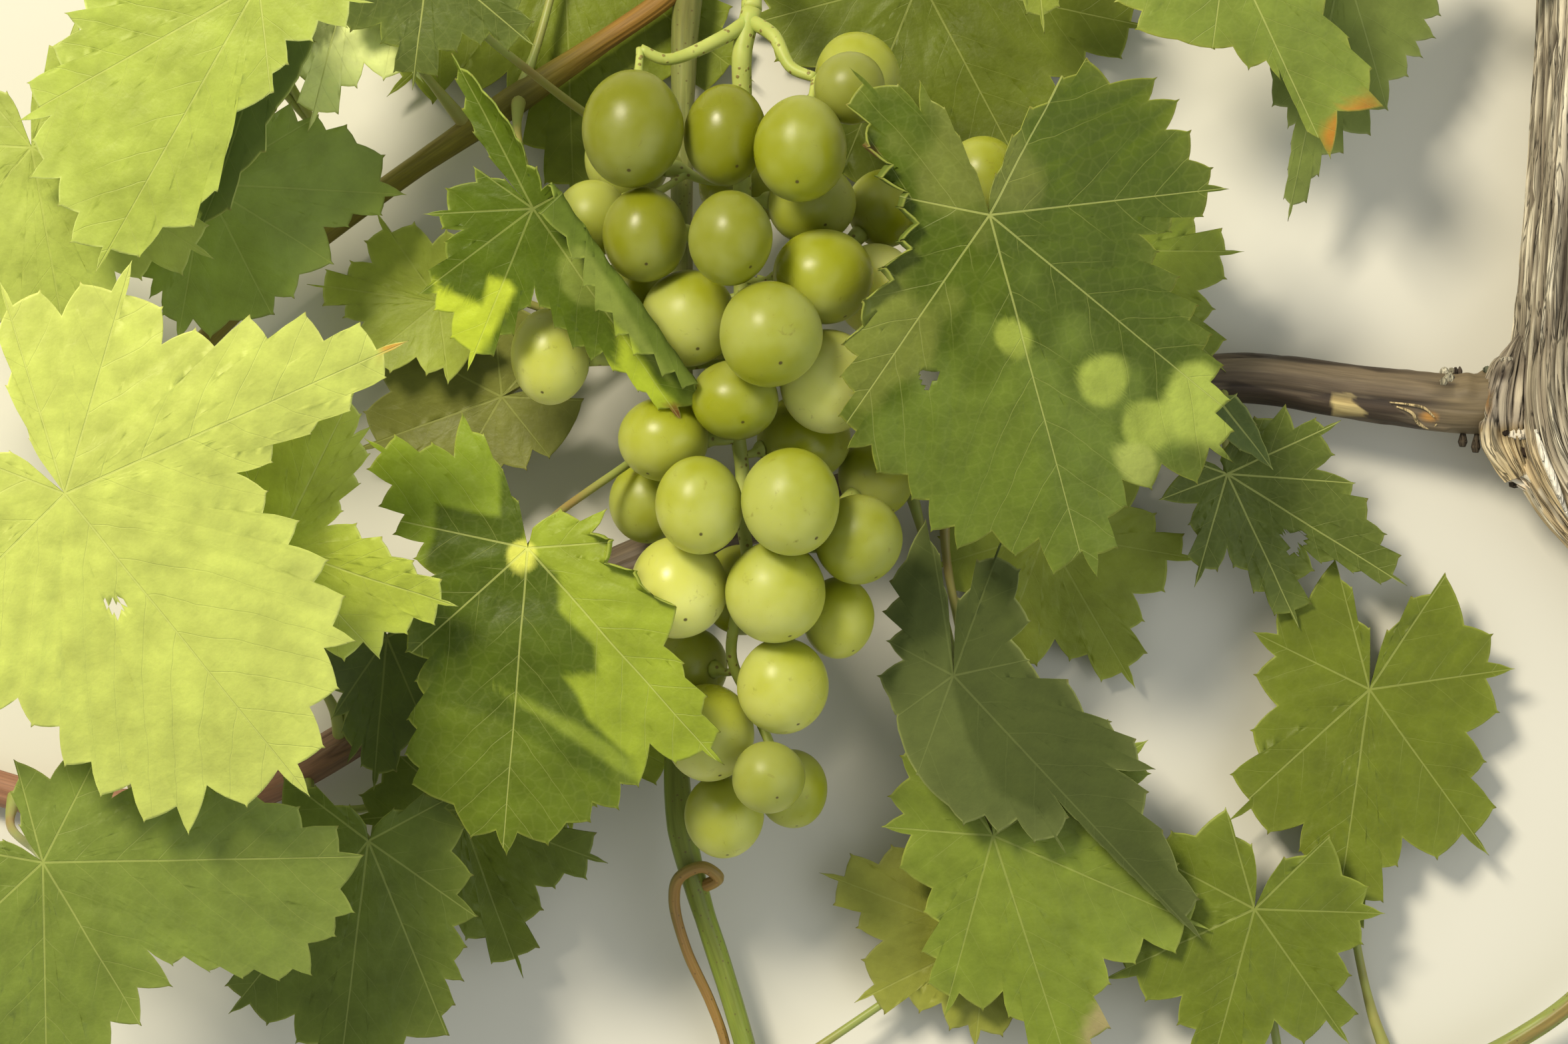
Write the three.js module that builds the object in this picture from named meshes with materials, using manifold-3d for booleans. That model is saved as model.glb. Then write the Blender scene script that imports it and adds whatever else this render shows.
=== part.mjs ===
// A cut length of fruiting grapevine, laid on its back: a short piece of the trunk, the arm that leaves it,
// a side cane, two green shoots, one bunch of grapes and the leaves round it.
// Millimetres. +X runs along the arm towards the trunk, +Y from the bunch's tip to its stalk, +Z up off the
// ground.
import * as THREE from "three";
import { mergeVertices } from "three/addons/utils/BufferGeometryUtils.js";
import Module from "manifold-3d";

const wasm = await Module();
wasm.setup();

// Driving dimensions
const EYE_HEIGHT = 1000; // the height from which the piece is looked down on
const SEEN_HEIGHT = 35; // places are given as they look against a sheet at this height
const JOIN_GAP = 0.3; // clearance where one limb, leaf or berry meets the next
const STALK_GAP = 0.25; // clearance from a berry to the stalks that pass it
const BLADE = 1.1; // thickness of a leaf blade
const PETIOLE = 1.1; // radius of a leaf's stalk
const FOOT_Y = -44; // plane of the trunk's lower cut
const HEAD_Y = 112; // plane of the trunk's upper cut
const TOOTH_PITCH = 10; // along a leaf's edge, from one tooth to the next
const TOOTH_DEPTH = 0.5; // of the pitch
const LOBE_SWELL = 0.1; // how far a lobe's side bulges, against its length
const SIMPLIFY = 0.15; // facets this flat are merged
const BERRY_PLUMP = 0.97; // a berry's depth against its width
const BERRY_FACETS = [10, 7]; // round a berry and from end to end
const INNER_FACETS = [7, 5];

// A place given as it looks from EYE_HEIGHT, against the sheet at SEEN_HEIGHT, becomes its true place at
// height z.
const nearness = (z) => (EYE_HEIGHT - z) / (EYE_HEIGHT - SEEN_HEIGHT);
function seen([x, y, z]) {
  return new THREE.Vector3(x * nearness(z), y * nearness(z), z);
}
const radians = THREE.MathUtils.degToRad;
const smooth = THREE.MathUtils.smoothstep;

// A closed geometry as a solid, and back.
function solidOf(geometry) {
  const bare = geometry.clone();
  for (const name of Object.keys(bare.attributes)) if (name !== "position") bare.deleteAttribute(name);
  const merged = mergeVertices(bare, 1e-4);
  return new wasm.Manifold(
    new wasm.Mesh({
      numProp: 3,
      vertProperties: merged.attributes.position.array,
      triVerts: new Uint32Array(merged.index.array),
    }),
  );
}
function geometryOf(solid) {
  const mesh = solid.getMesh();
  return new THREE.BufferGeometry()
    .setAttribute("position", new THREE.BufferAttribute(Float32Array.from(mesh.vertProperties), 3))
    .setIndex(new THREE.BufferAttribute(Uint32Array.from(mesh.triVerts), 1));
}
const joined = (solids) => solids.reduce((whole, next) => whole.add(next));
const tidied = (solid) => solid.asOriginal().simplify(SIMPLIFY);

// The biggest single body of a solid that a cut may have left in pieces.
function biggest(solid) {
  return solid.decompose().reduce((best, next) => (next.volume() > best.volume() ? next : best));
}

// A round limb: a cylinder bent along a curve, its radius going through the given radii.
function limb({ points, radii, sides = 8, steps = 12, bump }, extra = 0) {
  const curve = new THREE.CatmullRomCurve3(points.map(seen), false, "centripetal");
  const frames = curve.computeFrenetFrames(steps, false);
  const geometry = new THREE.CylinderGeometry(1, 1, 1, sides, steps);
  const place = geometry.attributes.position;
  for (let i = 0; i < place.count; i++) {
    const t = 0.5 - place.getY(i);
    const step = Math.round(t * steps);
    const along = t * (radii.length - 1);
    const before = Math.min(Math.floor(along), radii.length - 2);
    const turn = Math.atan2(place.getZ(i), place.getX(i));
    const radius = THREE.MathUtils.lerp(radii[before], radii[before + 1], along - before) + extra;
    const reach = Math.hypot(place.getX(i), place.getZ(i)) * (radius + (bump ? bump(t, turn) : 0));
    const at = curve.getPointAt(t);
    at.addScaledVector(frames.normals[step], reach * Math.cos(turn));
    at.addScaledVector(frames.binormals[step], reach * Math.sin(turn));
    place.setXYZ(i, at.x, at.y, at.z);
  }
  const solid = solidOf(geometry);
  if (solid.volume() > 0) return tidied(solid);
  const index = geometry.index.array;
  for (let i = 0; i < index.length; i += 3) [index[i], index[i + 1]] = [index[i + 1], index[i]];
  return tidied(solidOf(geometry));
}

// The point of a limb's axis that looks nearest to a given place.
function onLimb({ points }, [x, y]) {
  const curve = new THREE.CatmullRomCurve3(points.map(seen), false, "centripetal");
  const near = ({ x: px, y: py, z }) => Math.hypot(px / nearness(z) - x, py / nearness(z) - y);
  const at = curve.getPoints(120).reduce((best, next) => (near(next) < near(best) ? next : best));
  return [at.x / nearness(at.z), at.y / nearness(at.z), at.z];
}

// Woody and green limbs. Points are seen places with their heights; radii run from end to end.
const ridges = (t, turn) => 0.9 * Math.sin(5 * turn + 4 * t) + 0.5 * Math.sin(9 * turn - 7 * t);
const LIMBS = {
  trunk: {
    points: [
      [156.5, 124, 12], [157, 100, 12.2], [155, 62, 13.2], [153.6, 34, 14.4], [156.5, 15, 17],
      [170, -2, 16.4], [182, -16, 15], [190, -34, 13.2], [192, -58, 12.2],
    ],
    radii: [12.6, 12.8, 13, 13, 13.4, 17, 16, 14.6, 13.8, 13.4],
    sides: 16,
    steps: 16,
    bump: ridges,
  },
  arm: {
    points: [
      [153, 25, 15], [132, 24.3, 13.5], [110, 25.5, 12], [85.5, 27.6, 10], [48, 20, 9.5], [16, 6.6, 9],
      [-20, -4.4, 9], [-60, -24.6, 9], [-81, -40.4, 8], [-106.5, -53, 6.5], [-136.5, -54, 4.4],
      [-160, -48, 2.6],
    ],
    radii: [7.6, 6.4, 5.4, 4.6, 4.5, 4.4, 4.4, 4.8, 4.4, 4, 3.8, 3.6, 3.4],
    sides: 8,
    steps: 24,
  },
  shoot_up: {
    points: [
      [-20, -4.4, 9], [-19.5, 30, 7], [-19.5, 62, 7], [-19, 92, 8], [-18, 106, 9.5], [-17.5, 122, 9],
    ],
    radii: [2.7, 2.2, 2.1, 2.1, 2.2, 2.9, 2],
    sides: 8,
    steps: 12,
  },
  shoot_down: {
    points: [
      [-20, -4.4, 9], [-20.5, -30, 9], [-20, -56, 10], [-16.5, -71, 11], [-12, -85, 10],
      [-7.5, -100, 8], [-5, -110, 6],
    ],
    radii: [2.8, 2.2, 2.2, 2.9, 2.1, 2.1, 2],
    sides: 8,
    steps: 14,
  },
  side_cane: {
    points: [
      [-18, 105, 9.5], [-23, 100, 10], [-36, 91, 10.5], [-51, 81, 11], [-75, 64.7, 11], [-98, 47, 10],
      [-120, 25, 7], [-131, 12, 4],
    ],
    radii: [2.1, 2.1, 3, 2.2, 2.2, 2.2, 2, 1.8],
    sides: 8,
    steps: 16,
  },
  bunch_stalk: {
    points: [[-18, 108, 9.5], [-11, 113, 18], [-6.5, 108, 30], [-6.2, 98, 36]],
    radii: [1.9, 1.7, 1.7, 2],
    sides: 7,
    steps: 7,
  },
  base_shoot: {
    points: [[188, -34, 14], [172, -66, 12], [148, -94, 8], [118, -108, 5], [88, -112, 3.5], [78, -112, 3]],
    radii: [2.3, 2.1, 2, 1.9, 1.7, 1.6],
    sides: 6,
    steps: 10,
  },
  tendril: {
    points: [
      [-16, -70, 11], [-12.6, -68, 15], [-15.5, -66, 16], [-20, -68, 15], [-21, -72.5, 13],
      [-18.6, -82, 11], [-14, -92, 9], [-11.2, -100, 7], [-10.6, -107, 5],
    ],
    radii: [1.2, 1.1, 1, 0.9],
    sides: 5,
    steps: 18,
  },
  top_shoot: {
    points: [[150, 104, 22], [132, 110, 30], [108, 116, 34], [82, 119, 32], [52, 119, 24], [34, 116, 15]],
    radii: [2.4, 2.2, 2.1, 2, 1.8, 1.6],
    sides: 6,
    steps: 10,
  },
};

// Leaves. A blade is drawn as it looks, in polar form about the end of its stalk: angle 0 runs down the
// middle vein and the stalk's notch is at 180. Its edge is given as bay, lobe tip, bay, lobe tip and so on,
// each with its angle and its reach. Here is half a whole leaf, with its reach against the middle lobe's
// length, and 1 for a lobe tip.
const HALF_EDGE = [
  [0, 1, 1], [25, 0.6, 0], [50, 0.87, 1], [77, 0.5, 0],
  [103, 0.68, 1], [126, 0.5, 0], [149, 0.55, 1], [170, 0.12, 0],
];
const NOTCH_ANGLE = 160; // past this, an edge point belongs to the stalk's notch
function vineEdge(length, { left = 1, right = 1, cut = 1 } = {}) {
  const side = (sign, breadth) =>
    HALF_EDGE.map(([angle, reach, isTip]) => {
      const depth = isTip || angle > NOTCH_ANGLE ? reach : reach * (2 - cut);
      const along = Math.cos(radians(angle)) * depth * length;
      const across = Math.sin(radians(angle)) * depth * length * breadth;
      return [sign * THREE.MathUtils.radToDeg(Math.atan2(across, along)), Math.hypot(along, across)];
    });
  return [...side(-1, right).slice(1).reverse(), ...side(1, left)];
}

// The toothed edge: the given corners, with teeth and notches by turns between them.
function toothed(leaf) {
  const edge = [];
  const at = ([angle, reach]) =>
    new THREE.Vector2(reach * Math.cos(radians(angle)), reach * Math.sin(radians(angle)));
  for (let i = 0; i + 1 < leaf.edge.length; i++) {
    const from = at(leaf.edge[i]);
    const span = at(leaf.edge[i + 1]).sub(from);
    const out = new THREE.Vector2(span.y, -span.x).normalize();
    const sweep = Math.abs(out.dot(from.clone().addScaledVector(span, 0.5).normalize()));
    const teeth = Math.max(1, Math.round(span.length() / (leaf.pitch ?? TOOTH_PITCH)));
    const halves = 2 * teeth - 1;
    const fromTip = i % 2 === 1;
    for (let k = 0; k < halves; k++) {
      const f = k / halves;
      const point = from.clone().addScaledVector(span, f);
      point.addScaledVector(out, LOBE_SWELL * span.length() * Math.sin(Math.PI * f));
      const isNotch = fromTip ? k % 2 === 1 : k % 2 === 0 && k > 0;
      const depth = (TOOTH_DEPTH * (0.3 + 0.7 * sweep) * span.length()) / teeth;
      if (isNotch) point.addScaledVector(out, -depth);
      const turned = THREE.MathUtils.radToDeg(Math.atan2(point.y, point.x)) - leaf.edge[i][0];
      edge.push([leaf.edge[i][0] + turned - 360 * Math.round(turned / 360), point.length()]);
    }
  }
  edge.push(leaf.edge.at(-1));
  // Angles run on without turning back, so that the blade never folds over itself at its edge.
  for (let i = 1; i < edge.length; i++) edge[i][0] = Math.max(edge[i][0], edge[i - 1][0] + 0.4);
  return edge.map(at);
}

// Where the point (u, v) of a drawn blade lies, once the blade is bent over, sloped, folded, bowed and
// rippled.
function onBlade(leaf, u, v) {
  let along = u;
  let across = v;
  let rise = 0;
  for (const bend of leaf.bends ?? []) {
    const nx = Math.cos(radians(bend.toward));
    const ny = Math.sin(radians(bend.toward));
    const beyond = u * nx + v * ny - bend.from;
    if (beyond <= 0) continue;
    const turned = Math.min(beyond / bend.radius, radians(Math.abs(bend.turn)));
    const rest = beyond - turned * bend.radius;
    const flat = bend.radius * Math.sin(turned) + rest * Math.cos(turned);
    along += nx * (flat - beyond);
    across += ny * (flat - beyond);
    rise += Math.sign(bend.turn) * (bend.radius * (1 - Math.cos(turned)) + rest * Math.sin(turned));
  }
  const size = leaf.size ?? 60;
  const share = Math.hypot(u, v) / size;
  const [slopeAlong, slopeAcross] = leaf.slope ?? [0, 0];
  const fold = (leaf.fold ?? [0.12, 0.12])[v < 0 ? 1 : 0];
  rise += slopeAlong * along + slopeAcross * across;
  rise += fold * (Math.sqrt(across * across + 4) - 2);
  rise += (leaf.bow ?? -0.12) * size * (u / size) ** 2;
  rise += (leaf.ripple ?? 1.8) * share * share * Math.sin(5 * Math.atan2(v, u) + (leaf.phase ?? 0));
  const heading = radians(leaf.heading);
  const [x, y, z] = leaf.at;
  const dx = along * Math.cos(heading) - across * Math.sin(heading);
  const dy = along * Math.sin(heading) + across * Math.cos(heading);
  return seen([x + dx, y + dy, z + rise]);
}

// The blade as a closed plate: a fan round the stalk's end, rings through the notches, and the toothed
// edge.
function blade(leaf) {
  const edge = toothed(leaf);
  const notches = edge.filter((point, i) => i % 2 === 0);
  const rings = leaf.rings ?? [0.55];
  const flat = [new THREE.Vector2(0, 0)];
  for (const share of rings) flat.push(...notches.map((point) => point.clone().multiplyScalar(share)));
  flat.push(...edge);
  const tops = [];
  const unders = [];
  for (const { x: u, y: v } of flat) {
    const middle = onBlade(leaf, u, v);
    const ahead = onBlade(leaf, u + 0.4, v).sub(middle);
    const aside = onBlade(leaf, u, v + 0.4).sub(middle);
    const up = ahead.cross(aside).normalize();
    tops.push(...middle.clone().addScaledVector(up, BLADE / 2));
    unders.push(...middle.addScaledVector(up, -BLADE / 2));
  }
  const under = flat.length;
  const count = notches.length;
  const rim = 1 + rings.length * count;
  const index = [];
  const sheet = (a, b, c) => index.push(a, b, c, under + a, under + c, under + b);
  const wall = (a, b) => index.push(a, under + a, under + b, a, under + b, b);
  for (let j = 0; j + 1 < count; j++) {
    sheet(0, 1 + j, 2 + j);
    for (let ring = 1; ring < rings.length; ring++) {
      const near = 1 + (ring - 1) * count + j;
      sheet(near, near + count, near + count + 1);
      sheet(near, near + count + 1, near + 1);
    }
    const near = 1 + (rings.length - 1) * count + j;
    const far = rim + 2 * j;
    sheet(near, far, far + 1);
    sheet(near, far + 1, near + 1);
    sheet(near + 1, far + 1, far + 2);
    wall(far, far + 1);
    wall(far + 1, far + 2);
  }
  for (let ring = 0; ring <= rings.length; ring++) {
    const first = 1 + ring * count;
    const firstInner = ring === 0 ? 0 : first - count;
    wall(firstInner, first);
    const last = ring === rings.length ? rim + edge.length - 1 : first + count - 1;
    const lastInner = ring === 0 ? 0 : ring * count;
    wall(last, lastInner);
  }
  const geometry = new THREE.BufferGeometry()
    .setAttribute("position", new THREE.Float32BufferAttribute([...tops, ...unders], 3))
    .setIndex(index);
  return solidOf(geometry);
}

// A leaf with its stalk, which ends JOIN_GAP short of the limb that bears it.
function leafSolid(leaf) {
  const bearer = LIMBS[leaf.from];
  const end = onLimb(bearer, leaf.near);
  const path = [leaf.at, ...(leaf.via ?? []), end];
  const r = leaf.petiole ?? PETIOLE;
  const stalk = limb({ points: path, radii: [r, r, r * 1.35], sides: 4, steps: 1 + path.length });
  const whole = blade(leaf).add(stalk);
  return tidied(biggest(whole.subtract(limb(bearer, JOIN_GAP))));
}

const LEAVES = {
  leaf_large_right: {
    at: [39.3, 58.8, 68],
    heading: -78.5,
    edge: [
      [-175, 3], [-164, 28.5], [-158, 24], [-148, 38.5], [-95, 17.5], [-44, 52], [-29, 52], [-17, 64],
      [-11, 60.5], [5, 72], [15, 56.5], [33, 66], [71, 29], [84, 45.5], [94, 39.5], [118, 41],
      [126, 34], [136, 35], [170, 3],
    ],
    size: 68,
    slope: [-0.2, 0],
    fold: [-0.34, -0.1],
    bow: -0.1,
    ripple: 2.2,
    from: "arm",
    near: [52, 21.5],
    via: [[41, 56, 54], [45, 46, 34], [50, 33, 18]],
  },
  leaf_left_of_bunch: {
    at: [-49, -5, 55],
    heading: -94,
    edge: [
      [-165, 4], [-150, 28.5], [-137, 22.5], [-120, 37], [-70, 18.5], [-58, 30], [-38, 28.5], [-22, 50],
      [-12, 51], [0, 58.5], [12, 53], [29, 50], [36, 44], [46, 55.5], [58, 32], [72, 30.5], [83, 17.5],
      [120, 16.5], [170, 4],
    ],
    size: 58,
    slope: [-0.03, 0.02],
    fold: [0.1, -0.05],
    bow: -0.1,
    ripple: 2.4,
    phase: 1.2,
    from: "shoot_up",
    near: [-19.5, 19],
    via: [[-44, 1, 46], [-38, 5.5, 40], [-30, 11, 34], [-25, 15, 19]],
  },
  leaf_beside_bunch: {
    at: [-48, 60, 56],
    heading: -55,
    edge: [
      [-171, 3], [-160, 13.5], [-150, 12], [-122, 20.5], [-108, 14], [-88, 27], [-72, 25], [-57, 33],
      [-34, 15], [-14, 31], [-9, 30.5], [0, 49.5], [8, 46], [22, 47], [60, 19], [84, 21], [120, 4],
      [172, 33], [178, 4],
    ],
    rings: [0.3, 0.55, 0.8],
    pitch: 8,
    size: 48,
    slope: [-0.05, 0.1],
    fold: [0.25, -0.1],
    bow: -0.1,
    bends: [{ toward: 91, from: 3.6, radius: 2.3, turn: 168 }],
    from: "side_cane",
    near: [-51, 81],
    via: [[-49, 66, 44], [-51, 74, 28]],
  },
  leaf_near_left: {
    at: [-137.6, 5.4, 92],
    heading: -51,
    edge: [
      [-170, 4], [-150, 34], [-118, 26], [-84, 60], [-52, 40], [-19, 69], [-13, 62], [0, 74], [10, 62],
      [24, 62], [58, 33], [75, 71.5], [108, 34], [125, 46], [142, 34], [158, 42], [170, 4],
    ],
    pitch: 14,
    size: 72,
    slope: [-0.1, 0],
    fold: [-0.06, 0.02],
    bow: -0.1,
    ripple: 2.5,
    phase: 0.6,
    from: "arm",
    near: [-122, -55],
    via: [[-137, -3, 80], [-132, -26, 46], [-126, -45, 20]],
  },
  leaf_behind_near_left: {
    at: [-97, -5, 66],
    heading: -18,
    edge: [
      [-170, 3], [-140, 20], [-110, 16], [-75, 26], [-48, 20], [-29, 28.5], [-20, 26], [0, 36],
      [14, 22], [23, 20], [42, 10.5], [70, 29], [74, 26], [82, 34], [105, 22], [130, 30], [168, 3],
    ],
    pitch: 9,
    size: 36,
    slope: [0.05, 0.1],
    fold: [0.05, 0.05],
    ripple: 2.4,
    from: "arm",
    near: [-84, -42],
    via: [[-97, -9, 56], [-93, -24, 34], [-86, -36, 17]],
  },
  leaf_dark_centre_left: {
    at: [-76, -22, 31],
    heading: -95,
    edge: [
      [-165, 3], [-120, 16], [-70, 12], [-29, 18.5], [-22, 16], [-13, 25], [-8, 21], [0, 29], [12, 22],
      [28, 18], [60, 13], [120, 16], [165, 3],
    ],
    pitch: 9,
    size: 30,
    slope: [-0.05, 0],
    ripple: 1.2,
    sharesNode: "leaf_behind_near_left",
    from: "arm",
    near: [-84, -42],
    via: [[-77, -25, 25], [-83, -35, 17]],
  },
  leaf_top_left: {
    at: [-100.5, 103, 74],
    heading: -119.5,
    edge: [
      [-175, 3], [-120, 24], [-95, 20], [-52, 37], [-46, 35], [-31, 52.5], [-28, 47], [-20, 57],
      [-16, 53], [0, 63], [8, 50], [14, 48], [16, 25], [36, 21], [55, 12], [110, 22], [170, 3],
    ],
    pitch: 11,
    size: 60,
    slope: [-0.1, -0.05],
    fold: [0.1, -0.1],
    bow: -0.08,
    ripple: 2,
    phase: 2,
    from: "side_cane",
    near: [-80, 61],
    via: [[-100.5, 98, 60], [-98, 86, 42], [-87, 72, 22]],
  },
  leaf_folded_top_left: {
    at: [-97, 96, 56],
    heading: -110,
    edge: [
      [-150, 3], [-60, 12], [-24, 16], [-14, 28], [-10, 30], [0, 46], [5, 30], [20, 17], [50, 10],
      [80, 8], [150, 3],
    ],
    pitch: 13,
    size: 46,
    slope: [-0.1, 0.5],
    fold: [0.7, 0.3],
    bow: -0.05,
    ripple: 0.8,
    sharesNode: "leaf_top_left",
    from: "side_cane",
    near: [-80, 61],
    via: [[-97, 92, 48], [-95, 85, 40], [-87, 72, 22]],
  },
  leaf_shaded_upper_left: {
    at: [-110.7, 64.7, 42],
    heading: -40,
    edge: [
      [-175, 3], [-140, 20], [-110, 16], [-76, 24], [-72, 22], [-60, 30], [-40, 26.5], [-23, 28],
      [-4, 25], [8, 28.5], [20, 24], [37, 38], [55, 30], [71, 25], [110, 15], [140, 18], [172, 3],
    ],
    pitch: 9,
    size: 38,
    slope: [-0.1, 0],
    fold: [-0.12, -0.05],
    ripple: 1.4,
    phase: 2.2,
    from: "side_cane",
    near: [-98, 47],
    via: [[-109, 61, 33], [-103, 53, 20]],
  },
  leaf_far_left: {
    at: [-144, 71.7, 60],
    heading: -80,
    edge: vineEdge(48, { left: 0.95 }),
    size: 48,
    slope: [-0.1, 0],
    fold: [-0.1, -0.15],
    ripple: 1.8,
    phase: 3,
    from: "side_cane",
    near: [-118, 27],
    via: [[-142, 67, 50], [-134, 48, 28]],
  },
  leaf_top_bright: {
    at: [-82.5, 107, 44],
    heading: -105,
    edge: vineEdge(33, { left: 0.85, right: 0.75 }),
    pitch: 8,
    size: 33,
    slope: [0.02, 0],
    ripple: 1.6,
    from: "side_cane",
    near: [-60, 75],
    via: [[-81, 101, 34], [-69, 86, 18]],
  },
  leaf_top_dark: {
    at: [-68, 108, 52],
    heading: -97,
    edge: vineEdge(25, { left: 1.3, right: 1.2 }),
    pitch: 8,
    size: 28,
    slope: [-0.05, 0],
    ripple: 1.4,
    phase: 1,
    from: "shoot_up",
    near: [-19.5, 68],
    via: [[-60, 96, 45], [-49, 86.5, 34], [-34, 75.5, 21]],
  },
  leaf_behind_top: {
    at: [-42, 112, 4.4],
    heading: -88,
    edge: vineEdge(52, { cut: 1.1 }),
    pitch: 12,
    size: 52,
    slope: [0, 0],
    fold: [-0.02, -0.02],
    bow: 0,
    ripple: 0.8,
    from: "side_cane",
    near: [-51, 81],
    via: [[-43.5, 105, 8], [-47, 92, 10.5]],
  },
  leaf_behind_top_right: {
    at: [26, 104, 4.4],
    heading: -62,
    edge: vineEdge(52),
    pitch: 11,
    size: 52,
    slope: [0, 0],
    fold: [-0.02, -0.02],
    bow: 0,
    ripple: 0.9,
    from: "top_shoot",
    near: [36, 116.5],
    via: [[28, 108, 6], [35, 114, 11]],
  },
  leaf_behind_large: {
    at: [62, 52, 20],
    heading: -46,
    edge: vineEdge(32, { left: 0.85 }),
    pitch: 9,
    size: 33,
    slope: [-0.03, 0],
    fold: [0.03, 0.03],
    ripple: 1.4,
    from: "arm",
    near: [76, 27.5],
    via: [[67, 48, 16], [73, 36, 12]],
  },
  leaf_eroded: {
    at: [84.8, 9.2, 15],
    heading: -50,
    edge: [
      [-168, 3], [-149, 10], [-130, 9], [-109, 13.5], [-85, 8], [-56, 22], [-40, 14], [-15, 32],
      [6, 21], [18, 40], [32, 28], [46, 24], [53, 17], [75, 23.5], [84, 15.5], [99, 17], [168, 3],
    ],
    pitch: 8,
    size: 40,
    slope: [-0.06, 0.04],
    ripple: 1.8,
    from: "arm",
    near: [84, 27.5],
    via: [[84.6, 13, 14.5], [84.5, 20.5, 17]],
  },
  leaf_small_folded: {
    at: [84, 22.4, 26],
    heading: -52,
    edge: [
      [-160, 1.5], [-90, 3.4], [-50, 4.5], [-18, 9], [-8, 11], [0, 15], [10, 10], [22, 7], [60, 3.6],
      [90, 3], [160, 1.5],
    ],
    pitch: 9,
    size: 15,
    slope: [-0.35, 0.3],
    ripple: 0.3,
    petiole: 0.9,
    sharesNode: "leaf_eroded",
    from: "arm",
    near: [84, 27.5],
    via: [[84.5, 20.5, 17]],
  },
  leaf_top_right: {
    at: [84.8, 111, 46],
    heading: -67,
    edge: [
      [-175, 3], [-120, 22], [-100, 18], [-85, 24], [-74, 21], [-69, 24], [-50, 21], [-31, 20.5],
      [-20, 20], [-2, 28], [-1, 26], [2, 45.5], [10, 38.5], [20, 43], [28, 23], [80, 14], [110, 12],
      [135, 15], [170, 3],
    ],
    pitch: 10,
    size: 45,
    slope: [-0.12, 0],
    fold: [-0.1, -0.12],
    bow: -0.12,
    ripple: 1.6,
    from: "top_shoot",
    near: [88, 118],
    via: [],
  },
  leaf_top_right_underside: {
    at: [107, 108, 24],
    heading: -102,
    edge: [
      [-172, 3], [-110, 14], [-80, 11], [-50, 20], [-34, 18], [-24, 24], [-18, 27], [-6, 34], [-4, 33],
      [0, 51], [5, 38], [28, 30], [32, 25], [50, 24], [80, 19], [120, 20], [170, 3],
    ],
    pitch: 7.5,
    size: 50,
    slope: [-0.05, -0.1],
    fold: [-0.2, -0.05],
    ripple: 1.2,
    phase: 2,
    from: "top_shoot",
    near: [109, 116],
    via: [],
  },
  leaf_top_middle: {
    at: [48, 111, 32],
    heading: -84,
    edge: vineEdge(17, { left: 0.8, right: 0.8 }),
    pitch: 7,
    size: 17,
    slope: [-0.1, 0],
    ripple: 0.8,
    petiole: 0.9,
    sharesNode: "leaf_behind_top_right",
    from: "top_shoot",
    near: [36, 116.5],
    via: [[44, 113, 24], [35, 114, 11]],
  },
  leaf_underside_right: {
    at: [32.4, -29.4, 30],
    heading: -88,
    edge: [
      [-178, 9], [-173, 30], [-160, 24], [-120, 14], [-73, 13], [-56, 13.5], [-40, 16], [-22, 20],
      [-4, 25], [14, 31], [22, 30], [30, 40], [38, 30], [41, 69], [47, 57], [51, 50], [58, 36],
      [63, 42], [72, 26], [100, 14.5], [140, 19], [158, 28.5], [176, 9],
    ],
    rings: [0.5],
    pitch: 10,
    size: 66,
    slope: [-0.05, -0.06],
    fold: [-0.05, -0.15],
    bow: -0.12,
    ripple: 1.2,
    from: "arm",
    near: [24, 10],
    via: [[32, -24, 22], [28, -8, 13]],
  },
  leaf_olive_right: {
    at: [39, -79.4, 9],
    heading: 159,
    edge: vineEdge(34, { left: 0.9, right: 1.2 }),
    pitch: 9,
    size: 34,
    slope: [0, 0],
    fold: [-0.06, -0.06],
    bow: 0,
    ripple: 1,
    from: "shoot_down",
    near: [-5.5, -108],
    via: [[28, -86, 7], [7.4, -99.9, 7]],
  },
  leaf_bottom_right: {
    at: [40, -60, 20],
    heading: -72,
    edge: vineEdge(53, { left: 0.95, right: 0.55 }),
    size: 53,
    slope: [-0.08, 0],
    fold: [-0.05, -0.2],
    bow: -0.05,
    ripple: 1.5,
    from: "arm",
    near: [30, 13],
    via: [[38, -52, 15], [35, -28, 11], [31, -6, 9]],
  },
  leaf_bottom_far_right: {
    at: [90, -74, 14],
    heading: -105,
    edge: vineEdge(36),
    pitch: 11,
    size: 36,
    slope: [-0.08, 0],
    fold: [-0.06, -0.06],
    bow: 0,
    ripple: 1,
    from: "base_shoot",
    near: [96, -111.5],
    via: [[91, -80, 10], [94, -98, 5]],
  },
  leaf_far_right: {
    at: [112, -32, 8.5],
    heading: -98,
    edge: vineEdge(50, { left: 0.8, right: 0.7 }),
    pitch: 11,
    size: 50,
    slope: [0, 0],
    fold: [-0.04, -0.04],
    bow: 0,
    ripple: 1.2,
    from: "base_shoot",
    near: [118, -108],
    via: [[111, -38, 3.6], [108, -66, 3], [112, -92, 3]],
  },
  leaf_behind_right: {
    at: [50, -2, 6],
    heading: -60,
    edge: vineEdge(34),
    size: 34,
    slope: [-0.06, 0],
    fold: [-0.02, -0.02],
    bow: 0,
    ripple: 0.8,
    from: "arm",
    near: [50, 20.5],
    via: [[50, 6, 7.5]],
  },
  leaf_lower_left: {
    at: [-141.8, -65.1, 74],
    heading: -45,
    edge: [
      [-170, 3], [-145, 30], [-120, 26], [-92, 44], [-66, 34], [-44, 58], [-22, 33], [-14, 36],
      [-8, 30], [1, 34], [5, 26], [22, 55.5], [28, 53], [36, 60], [40, 57], [46, 61], [60, 44],
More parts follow.
